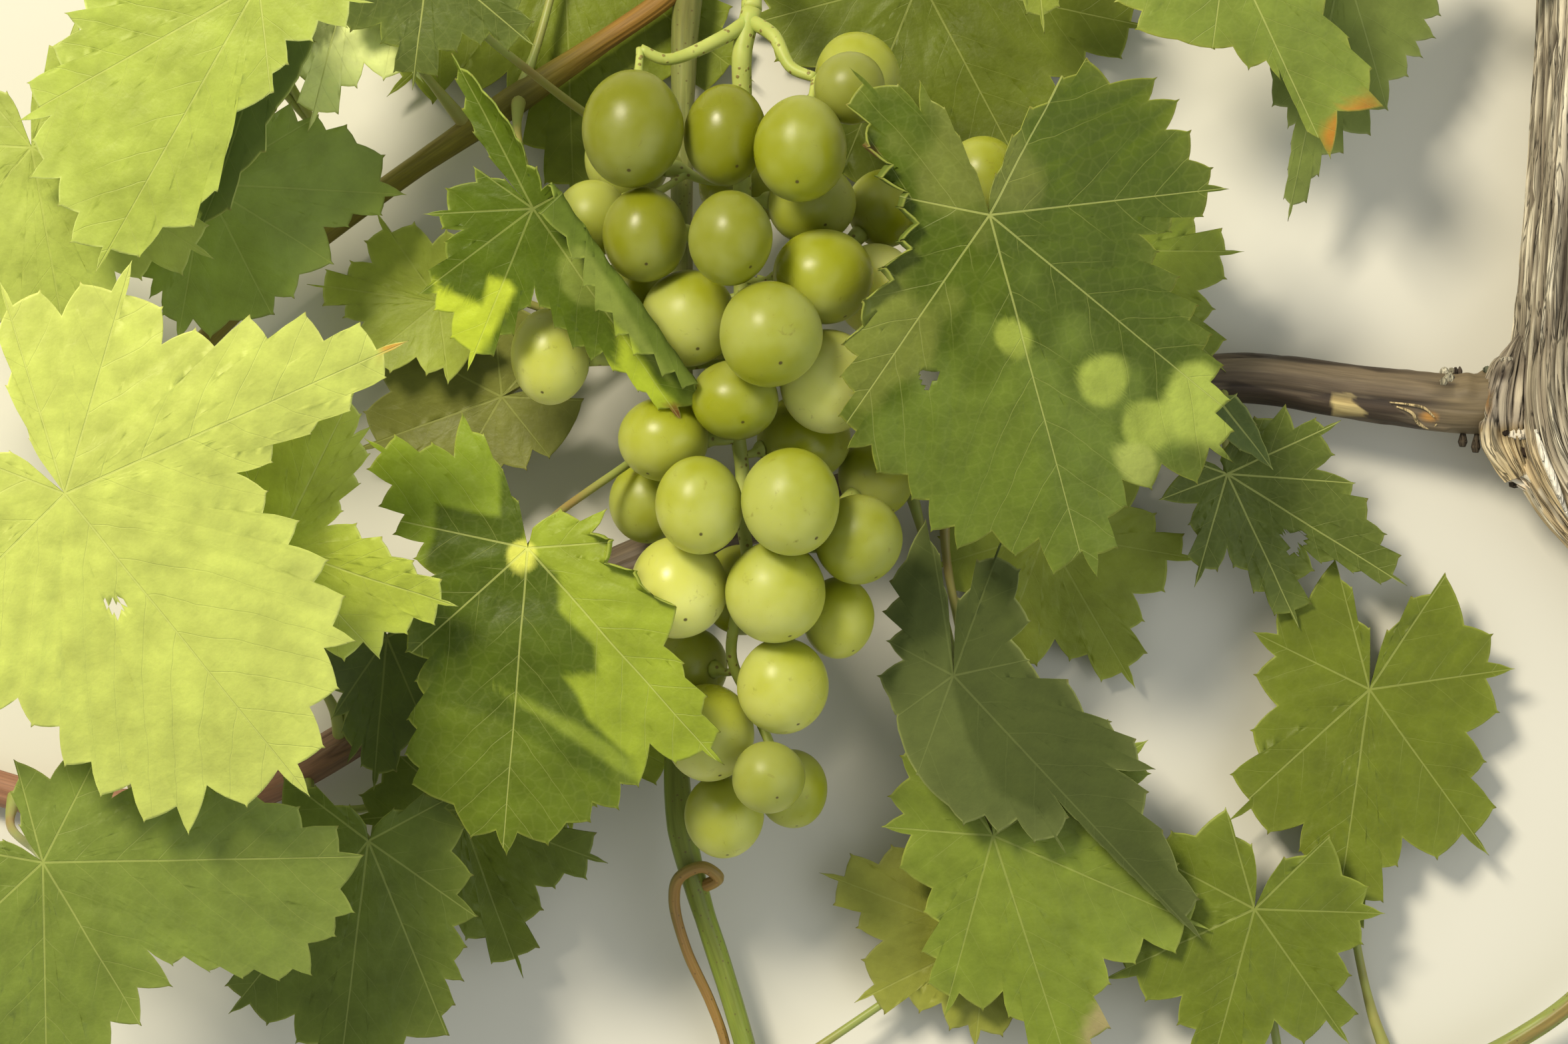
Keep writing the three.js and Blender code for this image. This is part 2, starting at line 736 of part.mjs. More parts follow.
      [66, 40], [88, 18], [108, 26], [130, 16], [150, 20], [170, 3],
    ],
    pitch: 11,
    size: 62,
    slope: [-0.08, 0],
    fold: [-0.12, -0.05],
    ripple: 2,
    phase: 2,
    from: "arm",
    near: [-146, -52],
    via: [[-143, -63, 58], [-148, -58, 26]],
  },
  leaf_bottom_left: {
    at: [-79.5, -61, 40],
    heading: -97,
    edge: [
      [-165, 3], [-120, 20], [-100, 17], [-32, 42], [-16, 36], [0, 49], [18, 38], [29, 40], [36, 30],
      [41, 32], [52, 23], [62, 25], [90, 16], [125, 20], [165, 3],
    ],
    pitch: 9,
    size: 48,
    slope: [-0.12, 0],
    fold: [-0.05, -0.05],
    ripple: 1.8,
    phase: 1,
    from: "arm",
    near: [-92, -47],
    via: [[-82, -58, 30], [-90, -54, 13]],
  },
  leaf_behind_bottom_left: {
    at: [-62, -55, 16],
    heading: -70,
    edge: vineEdge(34, { left: 1, right: 0.9 }),
    pitch: 9,
    size: 34,
    slope: [-0.1, 0],
    ripple: 1.2,
    sharesNode: "leaf_bottom_left",
    from: "arm",
    near: [-92, -47],
    via: [[-68, -52, 13], [-82, -55, 12], [-90, -54, 13]],
  },
  leaf_behind_centre: {
    at: [-46, -34, 5.5],
    heading: -28,
    edge: vineEdge(30),
    pitch: 9,
    size: 30,
    slope: [-0.03, 0],
    fold: [-0.02, -0.02],
    bow: 0,
    ripple: 0.8,
    from: "arm",
    near: [-54, -21],
    via: [[-50, -28, 7]],
  },
  leaf_behind_left: {
    at: [-66, 42, 19],
    heading: 172,
    edge: vineEdge(25, { left: 0.9, right: 0.9 }),
    pitch: 8,
    size: 25,
    slope: [-0.05, 0],
    ripple: 1,
    from: "shoot_up",
    near: [-19.5, 38],
    via: [[-54, 43, 15], [-40, 39, 10.5], [-26, 38, 8]],
  },
  leaf_olive_left: {
    at: [-54, 24, 13],
    heading: -160,
    edge: vineEdge(30, { left: 0.7, right: 0.9, cut: 0.8 }),
    pitch: 9,
    size: 30,
    slope: [-0.05, 0],
    ripple: 1,
    sharesNode: "leaf_behind_left",
    from: "shoot_up",
    near: [-19.5, 38],
    via: [[-44, 31, 10], [-34, 37, 8.5], [-26, 38, 8]],
  },
};

// Berries, front ones first: place of the middle, half width and half height as seen.
const GRAPES = [
  [-2.5, 35.9, 9.9, 10.2], [3.2, 71.4, 9, 10.2], [-29, 75.2, 9.9, 11.2], [1.2, 3.9, 9.5, 10.3],
  [-1.8, -13.4, 9.6, 9.8], [7.4, 47, 9.7, 9.2], [-0.3, -31.4, 8.7, 9.3], [-16.2, 3.2, 8.3, 9.6],
  [-2.9, -48.9, 7, 6.9], [-26.6, 54.9, 8.1, 9.2], [-10.2, 54.3, 8.1, 9], [-18.2, 39, 9.2, 9.3],
  [-11.3, 74.1, 8, 9.6], [-9.5, 23.4, 8.4, 7.8], [-23.1, 15.9, 8.7, 8.1], [8.4, 26.9, 9.3, 10.2],
  [14.3, -3.3, 8.4, 8.7], [-20.1, -12.6, 9.3, 9.9], [10.5, -18.3, 6.9, 7.8], [-14.3, -40.4, 8.7, 9.3],
  [-11.4, -56.1, 7.7, 8.1], [-44.7, 31.7, 7.7, 9.3], [12.5, 83.1, 6.8, 7], [17.7, 44.4, 8, 9],
];
// Berries deeper in the bunch, which share one body with its stalks.
const INNER_GRAPES = [
  [-36.6, 58.2, 7, 7.4], [5.3, 61, 8.4, 8], [-29, 42, 8, 8.4], [3.8, 15.9, 9, 8.4],
  [17.7, 8.7, 7.4, 7.6], [-26, 3.9, 7.6, 8, 26], [-36, 13.7, 6.9, 7.5, 24], [19, 60, 7, 7.6],
  [-18.3, -27.6, 7.4, 7.6], [-12.7, -24.6, 7.4, 7.8], [1.5, -51, 6.8, 7.6], [23, -2, 7, 7.6],
  [37.9, 66, 7.4, 8],
];
const BUNCH_AXIS_X = -8;
const BUNCH_AXIS_Z = 40;

// A berry of the bunch: an upright ellipsoid, as it looks from above.
function berryAt([x, y, halfWidth, halfHeight], z) {
  return {
    middle: seen([x, y, z]),
    radii: new THREE.Vector3(halfWidth, halfHeight, halfWidth * BERRY_PLUMP).multiplyScalar(nearness(z)),
  };
}
const reachAlong = (radii, d) => 1 / Math.hypot(d.x / radii.x, d.y / radii.y, d.z / radii.z);
function spare(a, b) {
  const apart = b.middle.clone().sub(a.middle);
  const distance = apart.length();
  apart.normalize();
  return distance - reachAlong(a.radii, apart) - reachAlong(b.radii, apart);
}

// Each berry starts on the bunch's front and moves back until it clears those in front of it.
const DEEPEST = 20.5; // of a berry's middle, so that the shoots have room behind the bunch
const hung = [];
function hang(row, start) {
  for (let z = start; z > DEEPEST; z -= 0.25) {
    const berry = berryAt(row, z);
    if (hung.every((other) => spare(other, berry) > JOIN_GAP)) {
      hung.push(berry);
      return berry;
    }
  }
  return null;
}
const frontOf = (x, y) => BUNCH_AXIS_Z + 7 + 14 * smooth(y, -60, 20) - 0.016 * (x - BUNCH_AXIS_X) ** 2;
const outerGrapes = GRAPES.map((row) => hang(row, frontOf(row[0], row[1])));
const INNER_BACK = 6; // how far behind the bunch's front an inner berry starts
const innerStart = ([x, y, , , z]) => z ?? frontOf(x, y) - INNER_BACK;
const innerGrapes = INNER_GRAPES.map((row) => hang(row, innerStart(row))).filter(Boolean);

// The back of the bunch, filled in rows of three with berries that clear the rest. The bunch is narrow and
// thin at its tip and widens towards its stalk.
const BACK_RADIUS = 8.2;
const BACK_PITCH = 15.5;
for (let y = -44; y < 84; y += BACK_PITCH)
  for (const side of [-1, 0, 1]) {
    const breadth = 8 + 14 * smooth(y, -50, 40);
    const depth = 9 + 8 * smooth(y, -50, 30) - 5 * Math.abs(side);
    const row = [BUNCH_AXIS_X + side * breadth, y + 5 * Math.abs(side), BACK_RADIUS, BACK_RADIUS * 1.06];
    const berry = berryAt(row, Math.max(BUNCH_AXIS_Z - depth, DEEPEST));
    if (!hung.every((other) => spare(other, berry) > JOIN_GAP)) continue;
    hung.push(berry);
    innerGrapes.push(berry);
  }

// The bunch's stalk runs down through the bunch where it has most room.
function roomAt(point) {
  const at = seen(point);
  return Math.min(
    ...hung.map(({ middle, radii }) => (at.clone().sub(middle).divide(radii).length() - 1) * radii.x),
  );
}
const SPINE_STEP = 9;
const spine = [[-6.2, 98, 36], [-8, 90, 38]];
for (let y = 82; y > -46; y -= SPINE_STEP) {
  const [fromX, , fromZ] = spine.at(-1);
  let best = null;
  for (let x = fromX - 4; x <= fromX + 4; x += 1)
    for (let z = fromZ - 4; z <= fromZ + 4; z += 1) {
      const strayed = Math.hypot(x - BUNCH_AXIS_X, z - BUNCH_AXIS_Z + 3);
      const score = Math.min(roomAt([x, y, z]), 4) - 0.08 * strayed;
      if (!best || score > best.score) best = { score, point: [x, y, z] };
    }
  spine.push(best.point);
}

// Every berry hangs by a short stalk from the nearest point of the stalks already there that it can reach
// without touching another berry.
const STALK_RADIUS = 0.9;
function clearance(from, to, { middle, radii }) {
  const a = from.clone().sub(middle).divide(radii);
  const b = to.clone().sub(middle).divide(radii);
  const near = new THREE.Line3(a, b).closestPointToPoint(new THREE.Vector3(), true, new THREE.Vector3());
  return (near.length() - 1) * radii.x;
}
const TOP_ARMS = [
  [[-6.6, 96, 36.5], [-12, 92.5, 40], [-22.5, 88.5, 43], [-27.5, 90.5, 44]],
  [[-6.6, 96, 36.5], [-2, 93, 41], [1.4, 87, 44], [6, 85, 46]],
];
const spineCurve = new THREE.CatmullRomCurve3(spine.map(seen), false, "centripetal");
const holds = [...spineCurve.getPoints(48).slice(3), ...TOP_ARMS.flatMap((arm) => arm.slice(1).map(seen))];
const stalks = [];
const byRoot = [...hung].sort((a, b) => {
  const reach = ({ middle }) => Math.min(...holds.map((hold) => hold.distanceTo(middle)));
  return reach(a) - reach(b);
});
for (const berry of byRoot) {
  const others = hung.filter((other) => other !== berry);
  let best = null;
  for (const hold of holds) {
    const back = hold.clone().sub(berry.middle);
    const distance = back.length();
    back.normalize();
    const skin = reachAlong(berry.radii, back);
    if (distance < skin + 1.2) continue;
    const fused = innerGrapes.includes(berry);
    const tip = berry.middle.clone().addScaledVector(back, fused ? skin - 1.5 : skin + JOIN_GAP);
    const free = Math.min(...others.map((other) => clearance(hold, tip, other))) - STALK_RADIUS;
    const score = Math.min(free - JOIN_GAP, 0) * 30 - distance;
    if (!best || score > best.score) best = { score, hold, tip, free };
  }
  stalks.push([best.hold, best.tip]);
  holds.push(best.hold.clone().lerp(best.tip, 0.35), best.hold.clone().lerp(best.tip, 0.7));
}

// A straight stalk between two true places.
function straight(from, to, thick, thin) {
  const length = from.distanceTo(to);
  const rod = new THREE.CylinderGeometry(thin, thick, length, 3, 1);
  rod.translate(0, length / 2, 0);
  const along = to.clone().sub(from).normalize();
  rod.applyQuaternion(new THREE.Quaternion().setFromUnitVectors(new THREE.Vector3(0, 1, 0), along));
  rod.translate(...from);
  return solidOf(rod);
}
function ball({ middle, radii }, across, up, extra = 0) {
  const round = new THREE.SphereGeometry(1, across, up);
  round.scale(radii.x + extra, radii.y + extra, radii.z + extra);
  round.translate(...middle);
  return solidOf(round);
}

const MATERIALS = {
  bark: new THREE.MeshStandardMaterial({ color: 0x8a7763, roughness: 0.95 }),
  cane: new THREE.MeshStandardMaterial({ color: 0x7a4a2c, roughness: 0.8 }),
  shoot: new THREE.MeshStandardMaterial({ color: 0x9aa84a, roughness: 0.6 }),
  leaf: new THREE.MeshStandardMaterial({ color: 0x7fa32e, roughness: 0.6 }),
  berry: new THREE.MeshStandardMaterial({ color: 0xbcc95a, roughness: 0.3 }),
};
const part = new THREE.Group();
function add(name, solid, material) {
  const mesh = new THREE.Mesh(geometryOf(solid), MATERIALS[material].clone());
  mesh.name = name;
  part.add(mesh);
}

// Wood and shoots. The arm stops short of the trunk, the shoots of the arm, and the cane and stalk of the
// shoot.
const trunk = limb(LIMBS.trunk).trimByPlane([0, 1, 0], FOOT_Y).trimByPlane([0, -1, 0], -HEAD_Y);
const arm = biggest(limb(LIMBS.arm).subtract(limb(LIMBS.trunk, JOIN_GAP)));
const shootUp = biggest(limb(LIMBS.shoot_up).subtract(limb(LIMBS.arm, JOIN_GAP)));
const shootDown = biggest(limb(LIMBS.shoot_down).subtract(limb(LIMBS.arm, JOIN_GAP)));
const cane = biggest(limb(LIMBS.side_cane).subtract(limb(LIMBS.shoot_up, JOIN_GAP)));
const topShoot = biggest(limb(LIMBS.top_shoot).subtract(limb(LIMBS.trunk, JOIN_GAP)));
add("trunk", trunk, "bark");
add("arm", arm, "cane");
add("side_cane", cane, "cane");
add("shoot_up", shootUp, "shoot");
add("shoot_down", shootDown, "shoot");
add("top_shoot", topShoot, "shoot");
add("base_shoot", biggest(limb(LIMBS.base_shoot).subtract(limb(LIMBS.trunk, JOIN_GAP))), "shoot");
add("tendril", biggest(limb(LIMBS.tendril).subtract(limb(LIMBS.shoot_down, JOIN_GAP))), "shoot");

const spineLimb = { points: spine, radii: [2, 1.8, 1.7, 1.5, 1.3, 1.1, 0.9], sides: 6, steps: 14 };
const topArms = TOP_ARMS.map((points) => limb({ points, radii: [1.5, 1.3, 1.1], sides: 5, steps: 4 }));
let bunchStalk = joined([
  limb(LIMBS.bunch_stalk),
  limb(spineLimb),
  ...topArms,
  ...stalks.map(([from, to]) => straight(from, to, STALK_RADIUS, STALK_RADIUS)),
  ...innerGrapes.map((berry) => ball(berry, ...INNER_FACETS)),
]).subtract(limb(LIMBS.shoot_up, JOIN_GAP));
for (const berry of outerGrapes) bunchStalk = bunchStalk.subtract(ball(berry, ...BERRY_FACETS, STALK_GAP));
add("bunch_stalk", tidied(biggest(bunchStalk)), "shoot");

for (const [name, leaf] of Object.entries(LEAVES)) {
  if (leaf.sharesNode) continue;
  const mates = Object.values(LEAVES).filter((other) => other.sharesNode === name);
  add(name, tidied(joined([leaf, ...mates].map(leafSolid))), "leaf");
}

const grapeName = (i) => `grape_${String(i + 1).padStart(2, "0")}`;
outerGrapes.forEach((berry, i) => add(grapeName(i), ball(berry, ...BERRY_FACETS), "berry"));

// The middle of the piece's box goes over the origin and its lowest reach onto the ground.
const box = new THREE.Box3().setFromObject(part);
const middle = box.getCenter(new THREE.Vector3());
part.position.set(-middle.x, -middle.y, -box.min.z);

export default part;
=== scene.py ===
"""Cut length of a fruiting grapevine, laid on its back on a pale floor and looked down on.

Places and sizes are in millimetres as drawn: x along the arm towards the trunk, y from the bunch's tip to
its stalk, z up off the ground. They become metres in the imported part's own frame where a mesh is made.
"""
import math

import bpy
import numpy as np
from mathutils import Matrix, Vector, noise


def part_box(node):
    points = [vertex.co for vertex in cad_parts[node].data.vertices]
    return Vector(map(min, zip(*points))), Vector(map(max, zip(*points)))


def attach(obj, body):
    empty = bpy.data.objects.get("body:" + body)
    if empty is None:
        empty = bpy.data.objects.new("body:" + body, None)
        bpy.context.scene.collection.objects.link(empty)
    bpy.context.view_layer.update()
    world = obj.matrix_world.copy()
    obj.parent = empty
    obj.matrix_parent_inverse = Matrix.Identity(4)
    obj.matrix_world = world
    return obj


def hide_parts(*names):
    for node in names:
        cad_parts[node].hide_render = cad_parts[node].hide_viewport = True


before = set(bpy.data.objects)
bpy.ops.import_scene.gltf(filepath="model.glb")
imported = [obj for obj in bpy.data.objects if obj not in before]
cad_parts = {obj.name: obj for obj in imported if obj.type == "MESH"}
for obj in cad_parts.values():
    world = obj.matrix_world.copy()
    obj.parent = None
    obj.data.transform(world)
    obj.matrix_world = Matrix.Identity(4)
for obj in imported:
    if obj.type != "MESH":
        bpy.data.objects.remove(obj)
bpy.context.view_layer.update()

bpy.ops.object.select_all(action="DESELECT")

# Where the piece lies and where it is looked at from. The places of limbs, leaves and berries are given
# as they look from EYE_HEIGHT against a sheet at SEEN_HEIGHT, the height of the bunch. The first grape's
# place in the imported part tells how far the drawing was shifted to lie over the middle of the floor.
MM = 0.001
EYE_HEIGHT = 1000
SEEN_HEIGHT = 35
SHEET_WIDTH = 300
FIRST_GRAPE = (-2.5, 35.9, 60.516)
SENSOR = 36


def nearness(z):
    return (EYE_HEIGHT - z) / (EYE_HEIGHT - SEEN_HEIGHT)


def seen(places):
    """True places of places given as they look."""
    places = np.array(places, dtype=float)
    places[..., :2] *= nearness(places[..., 2:])
    return places


def looks(places):
    """Where true places look to be."""
    return places[:, :2] / nearness(places[:, 2:])


grape_low, grape_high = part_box("grape_01")
SHIFT = (np.array(grape_low) + np.array(grape_high)) / 2 / MM - seen(FIRST_GRAPE)


def in_metres(places):
    """Drawn places in the part's frame; what would dip under the floor rests on it."""
    placed = (np.asarray(places, dtype=float) + SHIFT) * MM
    placed[..., 2] = np.maximum(placed[..., 2], 0.0)
    return placed


camera_lens = bpy.data.cameras.new("view_from_above")
camera_lens.sensor_width = SENSOR
camera_lens.lens = SENSOR * (EYE_HEIGHT - SEEN_HEIGHT) / SHEET_WIDTH
camera = bpy.data.objects.new("view_from_above", camera_lens)
bpy.context.scene.collection.objects.link(camera)
camera.location = in_metres((0, 0, EYE_HEIGHT))
bpy.context.scene.camera = camera


# Trunk: a short length of old grapevine wood, sawn off at both ends, with a knuckle where the arm leaves
# it. Its bark is dead phloem that shreds in long grey-brown strips, with deep dark grooves between them,
# and torn pale fibres below the knuckle. The strips are real relief, carried by value noise drawn out
# along the grain.
BEND_STEPS = 60
CREASE = math.radians(60)


def curve(points, count):
    """Evenly spaced places on a centripetal Catmull-Rom curve, its direction at each, and its length."""
    points = np.asarray(points, dtype=float)
    ends = np.vstack([2 * points[0] - points[1], points, 2 * points[-1] - points[-2]])
    gaps = np.linalg.norm(np.diff(ends, axis=0), axis=1) ** 0.5
    share = np.linspace(0, 1, BEND_STEPS, endpoint=False)[:, None]
    bends = []
    for i in range(len(points) - 1):
        before, start, end, after = ends[i:i + 4]
        lead, span, trail = gaps[i:i + 3]
        leave = ((start - before) / lead - (end - before) / (lead + span) + (end - start) / span) * span
        arrive = ((end - start) / span - (after - start) / (span + trail) + (after - end) / trail) * span
        square = -3 * start + 3 * end - 2 * leave - arrive
        cube = 2 * start - 2 * end + leave + arrive
        bends.append(start + share * leave + share**2 * square + share**3 * cube)
    dense = np.vstack([*bends, points[-1:]])
    reach = np.concatenate([[0], np.cumsum(np.linalg.norm(np.diff(dense, axis=0), axis=1))])
    at = np.linspace(0, reach[-1], count)
    places = np.stack([np.interp(at, reach, dense[:, axis]) for axis in range(3)], axis=1)
    heading = np.gradient(places, axis=0)
    heading /= np.linalg.norm(heading, axis=1, keepdims=True)
    return places, heading, reach[-1]


def rims(heading):
    """Two directions square to each heading, carried along a curve without twisting."""
    least = 2 - np.argmin(np.abs(heading[0])[::-1])
    square = np.cross(heading[0], np.eye(3)[least])
    normals = [np.cross(heading[0], square / np.linalg.norm(square))]
    for before, after in zip(heading, heading[1:]):
        axis = np.cross(before, after)
        sine = np.linalg.norm(axis)
        last = normals[-1]
        if sine > 1e-9:
            axis = axis / sine
            turn = math.atan2(sine, before @ after)
            last = last * math.cos(turn) + np.cross(axis, last) * math.sin(turn)
            last = last + axis * (axis @ normals[-1]) * (1 - math.cos(turn))
        normals.append(last)
    normals = np.array(normals)
    return normals, np.cross(heading, normals)


def strips(turn, along, count, length, seed):
    """Smooth random heights from -1 to 1 in count strips round a limb, each changing every length mm."""
    heights = np.random.default_rng(seed).uniform(-1, 1, (int(np.max(along) / length) + 3, count))
    across = np.mod(turn / (2 * math.pi), 1) * count
    row = along / length
    i = np.floor(across).astype(int)
    j = np.floor(row).astype(int)
    f = across - i
    g = row - j
    f = f * f * (3 - 2 * f)
    g = g * g * (3 - 2 * g)
    left = heights[j, i % count] * (1 - g) + heights[j + 1, i % count] * g
    right = heights[j, (i + 1) % count] * (1 - g) + heights[j + 1, (i + 1) % count] * g
    return left * (1 - f) + right * f


def srgb(code):
    """A hex colour as the linear colour that Blender takes."""
    parts = [int(code[i:i + 2], 16) / 255 for i in (1, 3, 5)]
    return (*[part / 12.92 if part <= 0.04045 else ((part + 0.055) / 1.055) ** 2.4 for part in parts], 1.0)


def node(tree, kind, inputs=None, **settings):
    """Adds one node; an input takes a number, a colour, an output, or a node for its first output."""
    made = tree.nodes.new("ShaderNode" + kind)
    for name, value in settings.items():
        setattr(made, name, value)
    for name, value in (inputs or {}).items():
        if isinstance(value, bpy.types.Node):
            value = next(output for output in value.outputs if output.enabled)
        if isinstance(value, bpy.types.NodeSocket):
            tree.links.new(value, made.inputs[name])
        else:
            made.inputs[name].default_value = value
    return made


def new_material(name):
    made = bpy.data.materials.new(name)
    made.use_nodes = True
    made.node_tree.nodes.clear()
    return made, made.node_tree


def fibrous(tree, stretch, noise, shades):
    """Noise drawn out along a piece's grain, and the piece's own tint shaded by it."""
    grain = node(tree, "Attribute", attribute_name="grain").outputs["Vector"]
    tint = node(tree, "Attribute", attribute_name="tint").outputs["Color"]
    drawn_out = node(tree, "Mapping", {"Vector": grain, "Scale": stretch})
    fibres = node(tree, "TexNoise", {"Vector": drawn_out, **noise})
    shade = node(tree, "MapRange", {"Value": fibres, **shades})
    return grain, fibres, node(tree, "VectorMath", {0: tint, 1: shade}, operation="MULTIPLY")


def surfaced(tree, height, strength, depth, inputs):
    """Ends a material in its shader, with a bump of this many millimetres."""
    bump = node(tree, "Bump", {"Height": height, "Strength": strength, "Distance": depth * MM})
    shader = node(tree, "BsdfPrincipled", {**inputs, "Normal": bump})
    node(tree, "OutputMaterial", {"Surface": shader})


def give(mesh, name, kind, domain, values):
    """Writes an attribute of a mesh."""
    field = {"FLOAT": "value", "FLOAT_VECTOR": "vector", "FLOAT_COLOR": "color"}[kind]
    layer = mesh.attributes.new(name, kind, domain)
    layer.data.foreach_set(field, np.ascontiguousarray(values, dtype=np.float32).ravel())


def tinted(base, patches):
    """A colour for each point: the base, then each further colour by its share there."""
    colours = np.array(srgb(base))
    for code, share in patches:
        share = np.clip(share, 0, 1)[:, None]
        colours = colours * (1 - share) + np.array(srgb(code)) * share
    return colours


def wrapped_limb(name, points, radii, around, steps, relief, tints):
    """A grid wrapped round a limb's curve, with its seam merged and its ends closed.

    relief(turn, along, share) gives the bark's height in mm; tints(turn, along, height, place) its colours.
    """
    bpy.ops.mesh.primitive_grid_add(x_subdivisions=around, y_subdivisions=steps, size=2)
    limb = bpy.context.object
    limb.name = limb.data.name = name
    corners = np.empty(len(limb.data.vertices) * 3, dtype=np.float32)
    limb.data.vertices.foreach_get("co", corners)
    corners = corners.reshape(-1, 3).astype(float)
    turn = (corners[:, 0] + 1) * math.pi
    share = (corners[:, 1] + 1) / 2
    row = np.rint(share * steps).astype(int)
    places, heading, length = curve(seen(points), steps + 1)
    normals, sides = rims(heading)
    height = relief(turn, share * length, share)
    radius = np.interp(share, np.linspace(0, 1, len(radii)), radii) + height
    outward = normals[row] * np.cos(turn)[:, None] + sides[row] * np.sin(turn)[:, None]
    drawn = places[row] + outward * radius[:, None]
    limb.data.vertices.foreach_set("co", in_metres(drawn).astype(np.float32).ravel())
    girth = float(np.mean(radii))
    give(limb.data, "grain", "FLOAT_VECTOR", "POINT",
         np.stack([girth * np.cos(turn), girth * np.sin(turn), share * length], axis=1))
    give(limb.data, "height", "FLOAT", "POINT", height)
    give(limb.data, "tint", "FLOAT_COLOR", "POINT", tints(turn, share * length, height, drawn))
    bpy.ops.object.mode_set(mode="EDIT")
    bpy.ops.mesh.select_all(action="SELECT")
    bpy.ops.mesh.remove_doubles(threshold=1e-7)
    bpy.ops.mesh.select_all(action="SELECT")
    bpy.ops.mesh.fill_holes(sides=0)
    bpy.ops.mesh.select_all(action="SELECT")
    bpy.ops.mesh.normals_make_consistent(inside=False)
    bpy.ops.object.mode_set(mode="OBJECT")
    return limb


def finished(piece, slot, replaced, *materials):
    """Gives a piece its materials and its place in the part."""
    for material in materials:
        piece.data.materials.append(material)
    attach(piece, "root")
    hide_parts(replaced)
    piece.select_set(False)


def smooth_limb(limb, slot, replaced, *materials):
    """Smooths a limb up to its creases and finishes it."""
    bpy.ops.object.shade_smooth_by_angle(angle=CREASE)
    finished(limb, slot, replaced, *materials)


TRUNK = [
    (156.5, 124, 12), (157, 100, 12.2), (155, 62, 13.2), (153.6, 34, 14.4), (156.5, 15, 17),
    (170, -2, 16.4), (182, -16, 15), (190, -34, 13.2), (192, -58, 12.2),
]
TRUNK_RADII = [12.6, 12.8, 13, 13, 13.4, 17, 16, 14.6, 13.8, 13.4]
FOOT_Y = -44
HEAD_Y = 112
ON_CUT = 0.05
TORN_FROM, TORN_TO = np.array([136.3, 15.4]), np.array([149.5, -2.5])
TORN_WIDTH = 4.5


def bark_strips(turn, along):
    """Broad strips and the fibres on them, from 0 in a groove to 1 on top, and hairs from -1 to 1."""
    wander = turn + 0.05 * strips(turn, along, 6, 45, 11) + 0.02 * strips(turn, along, 17, 14, 12)
    broad = np.minimum(np.abs(strips(wander, along, 34, 60, 13)) * 8, 1)
    fibres = np.minimum(np.abs(strips(wander, along, 96, 26, 14)) * 5, 1)
    return broad, fibres, strips(wander, along, 124, 9, 15)


def trunk_relief(turn, along, share):
    swell = 0.9 * np.sin(5 * turn + 4 * share) + 0.5 * np.sin(9 * turn - 7 * share)
    broad, fibres, hairs = bark_strips(turn, along)
    return 0.5 * swell + 0.9 * (broad - 0.9) + 0.45 * (fibres - 0.8) + 0.3 * hairs


def torn_share(place):
    """1 on the torn fibres below the knuckle, falling to 0 round them."""
    down = TORN_TO - TORN_FROM
    share = np.clip((looks(place) - TORN_FROM) @ down / (down @ down), 0, 1)
    from_tear = np.linalg.norm(looks(place) - TORN_FROM - share[:, None] * down, axis=1)
    return np.clip(1.6 - from_tear / TORN_WIDTH, 0, 1)


def trunk_tints(turn, along, height, place):
    broad, fibres, hairs = bark_strips(turn, along)
    torn = torn_share(place)
    return tinted("#9c927c", [
        ("#b3a990", np.clip(strips(turn, along, 12, 40, 22) * 2, 0, 1) * 0.7),
        ("#e0d7bd", np.clip(hairs * 1.8, 0, 1) * broad * 0.85),
        ("#75695a", np.clip(-hairs * 1.6, 0, 1) * 0.6),
        # painted light: the trunk's right side, where the light falls strongly, is made paler
        ("#dfd6bc", np.clip((looks(place)[:, 0] - 145) / 6, 0, 1) * 0.45),
        ("#dcc496", torn * 0.85),
        ("#efe5ca", torn * (hairs > 0.2) * 0.85),
        # painted shade: the fine and the deep grooves of the relief are darkened
        ("#5d5145", (1 - fibres) * 0.6),
        ("#2f2720", (1 - broad) * 0.9),
    ])


# Old shredding bark: grey-brown fibres about half a mm wide and tens of millimetres long, bleached and
# dusty on the ridges and nearly black in the grooves, by painted shade, with no gloss at all.
FIBRE_WIDTH = 0.6
FIBRE_LENGTH = 14
CRACK_PITCH = 1.6
CRACK_LENGTH = 26
old_bark, tree = new_material("shredding_vine_bark")
grain, fibres, shaded = fibrous(
    tree, (1 / FIBRE_WIDTH, 1 / FIBRE_WIDTH, 1 / FIBRE_LENGTH),
    {"Scale": 1.0, "Detail": 5.0, "Roughness": 0.65, "Distortion": 0.4},
    {"From Min": 0.36, "From Max": 0.64, "To Min": 0.58, "To Max": 1.3})
crack_place = node(tree, "Mapping", {
    "Vector": grain, "Scale": (1 / CRACK_PITCH, 1 / CRACK_PITCH, 1 / CRACK_LENGTH)})
cracks = node(tree, "TexNoise", {
    "Vector": crack_place, "Scale": 1.0, "Detail": 3.0, "Roughness": 0.6, "Distortion": 0.8})
off_crack = node(tree, "Math", {0: cracks, 1: 0.5}, operation="SUBTRACT")
from_crack = node(tree, "Math", {0: off_crack}, operation="ABSOLUTE")
# Painted shade: the cracks are darkened in colour as well as sunk by the bump.
uncracked = node(tree, "MapRange", {
    "Value": from_crack, "From Min": 0.003, "From Max": 0.026, "To Min": 0.34, "To Max": 1.0})
cracked = node(tree, "VectorMath", {0: shaded, 1: uncracked}, operation="MULTIPLY")
bark_height = node(tree, "Math", {0: fibres, 1: 0.8, 2: uncracked}, operation="MULTIPLY_ADD")
surfaced(tree, bark_height, 0.9, 0.5, {
    "Base Color": cracked, "Roughness": 0.92, "Specular IOR Level": 0.2})
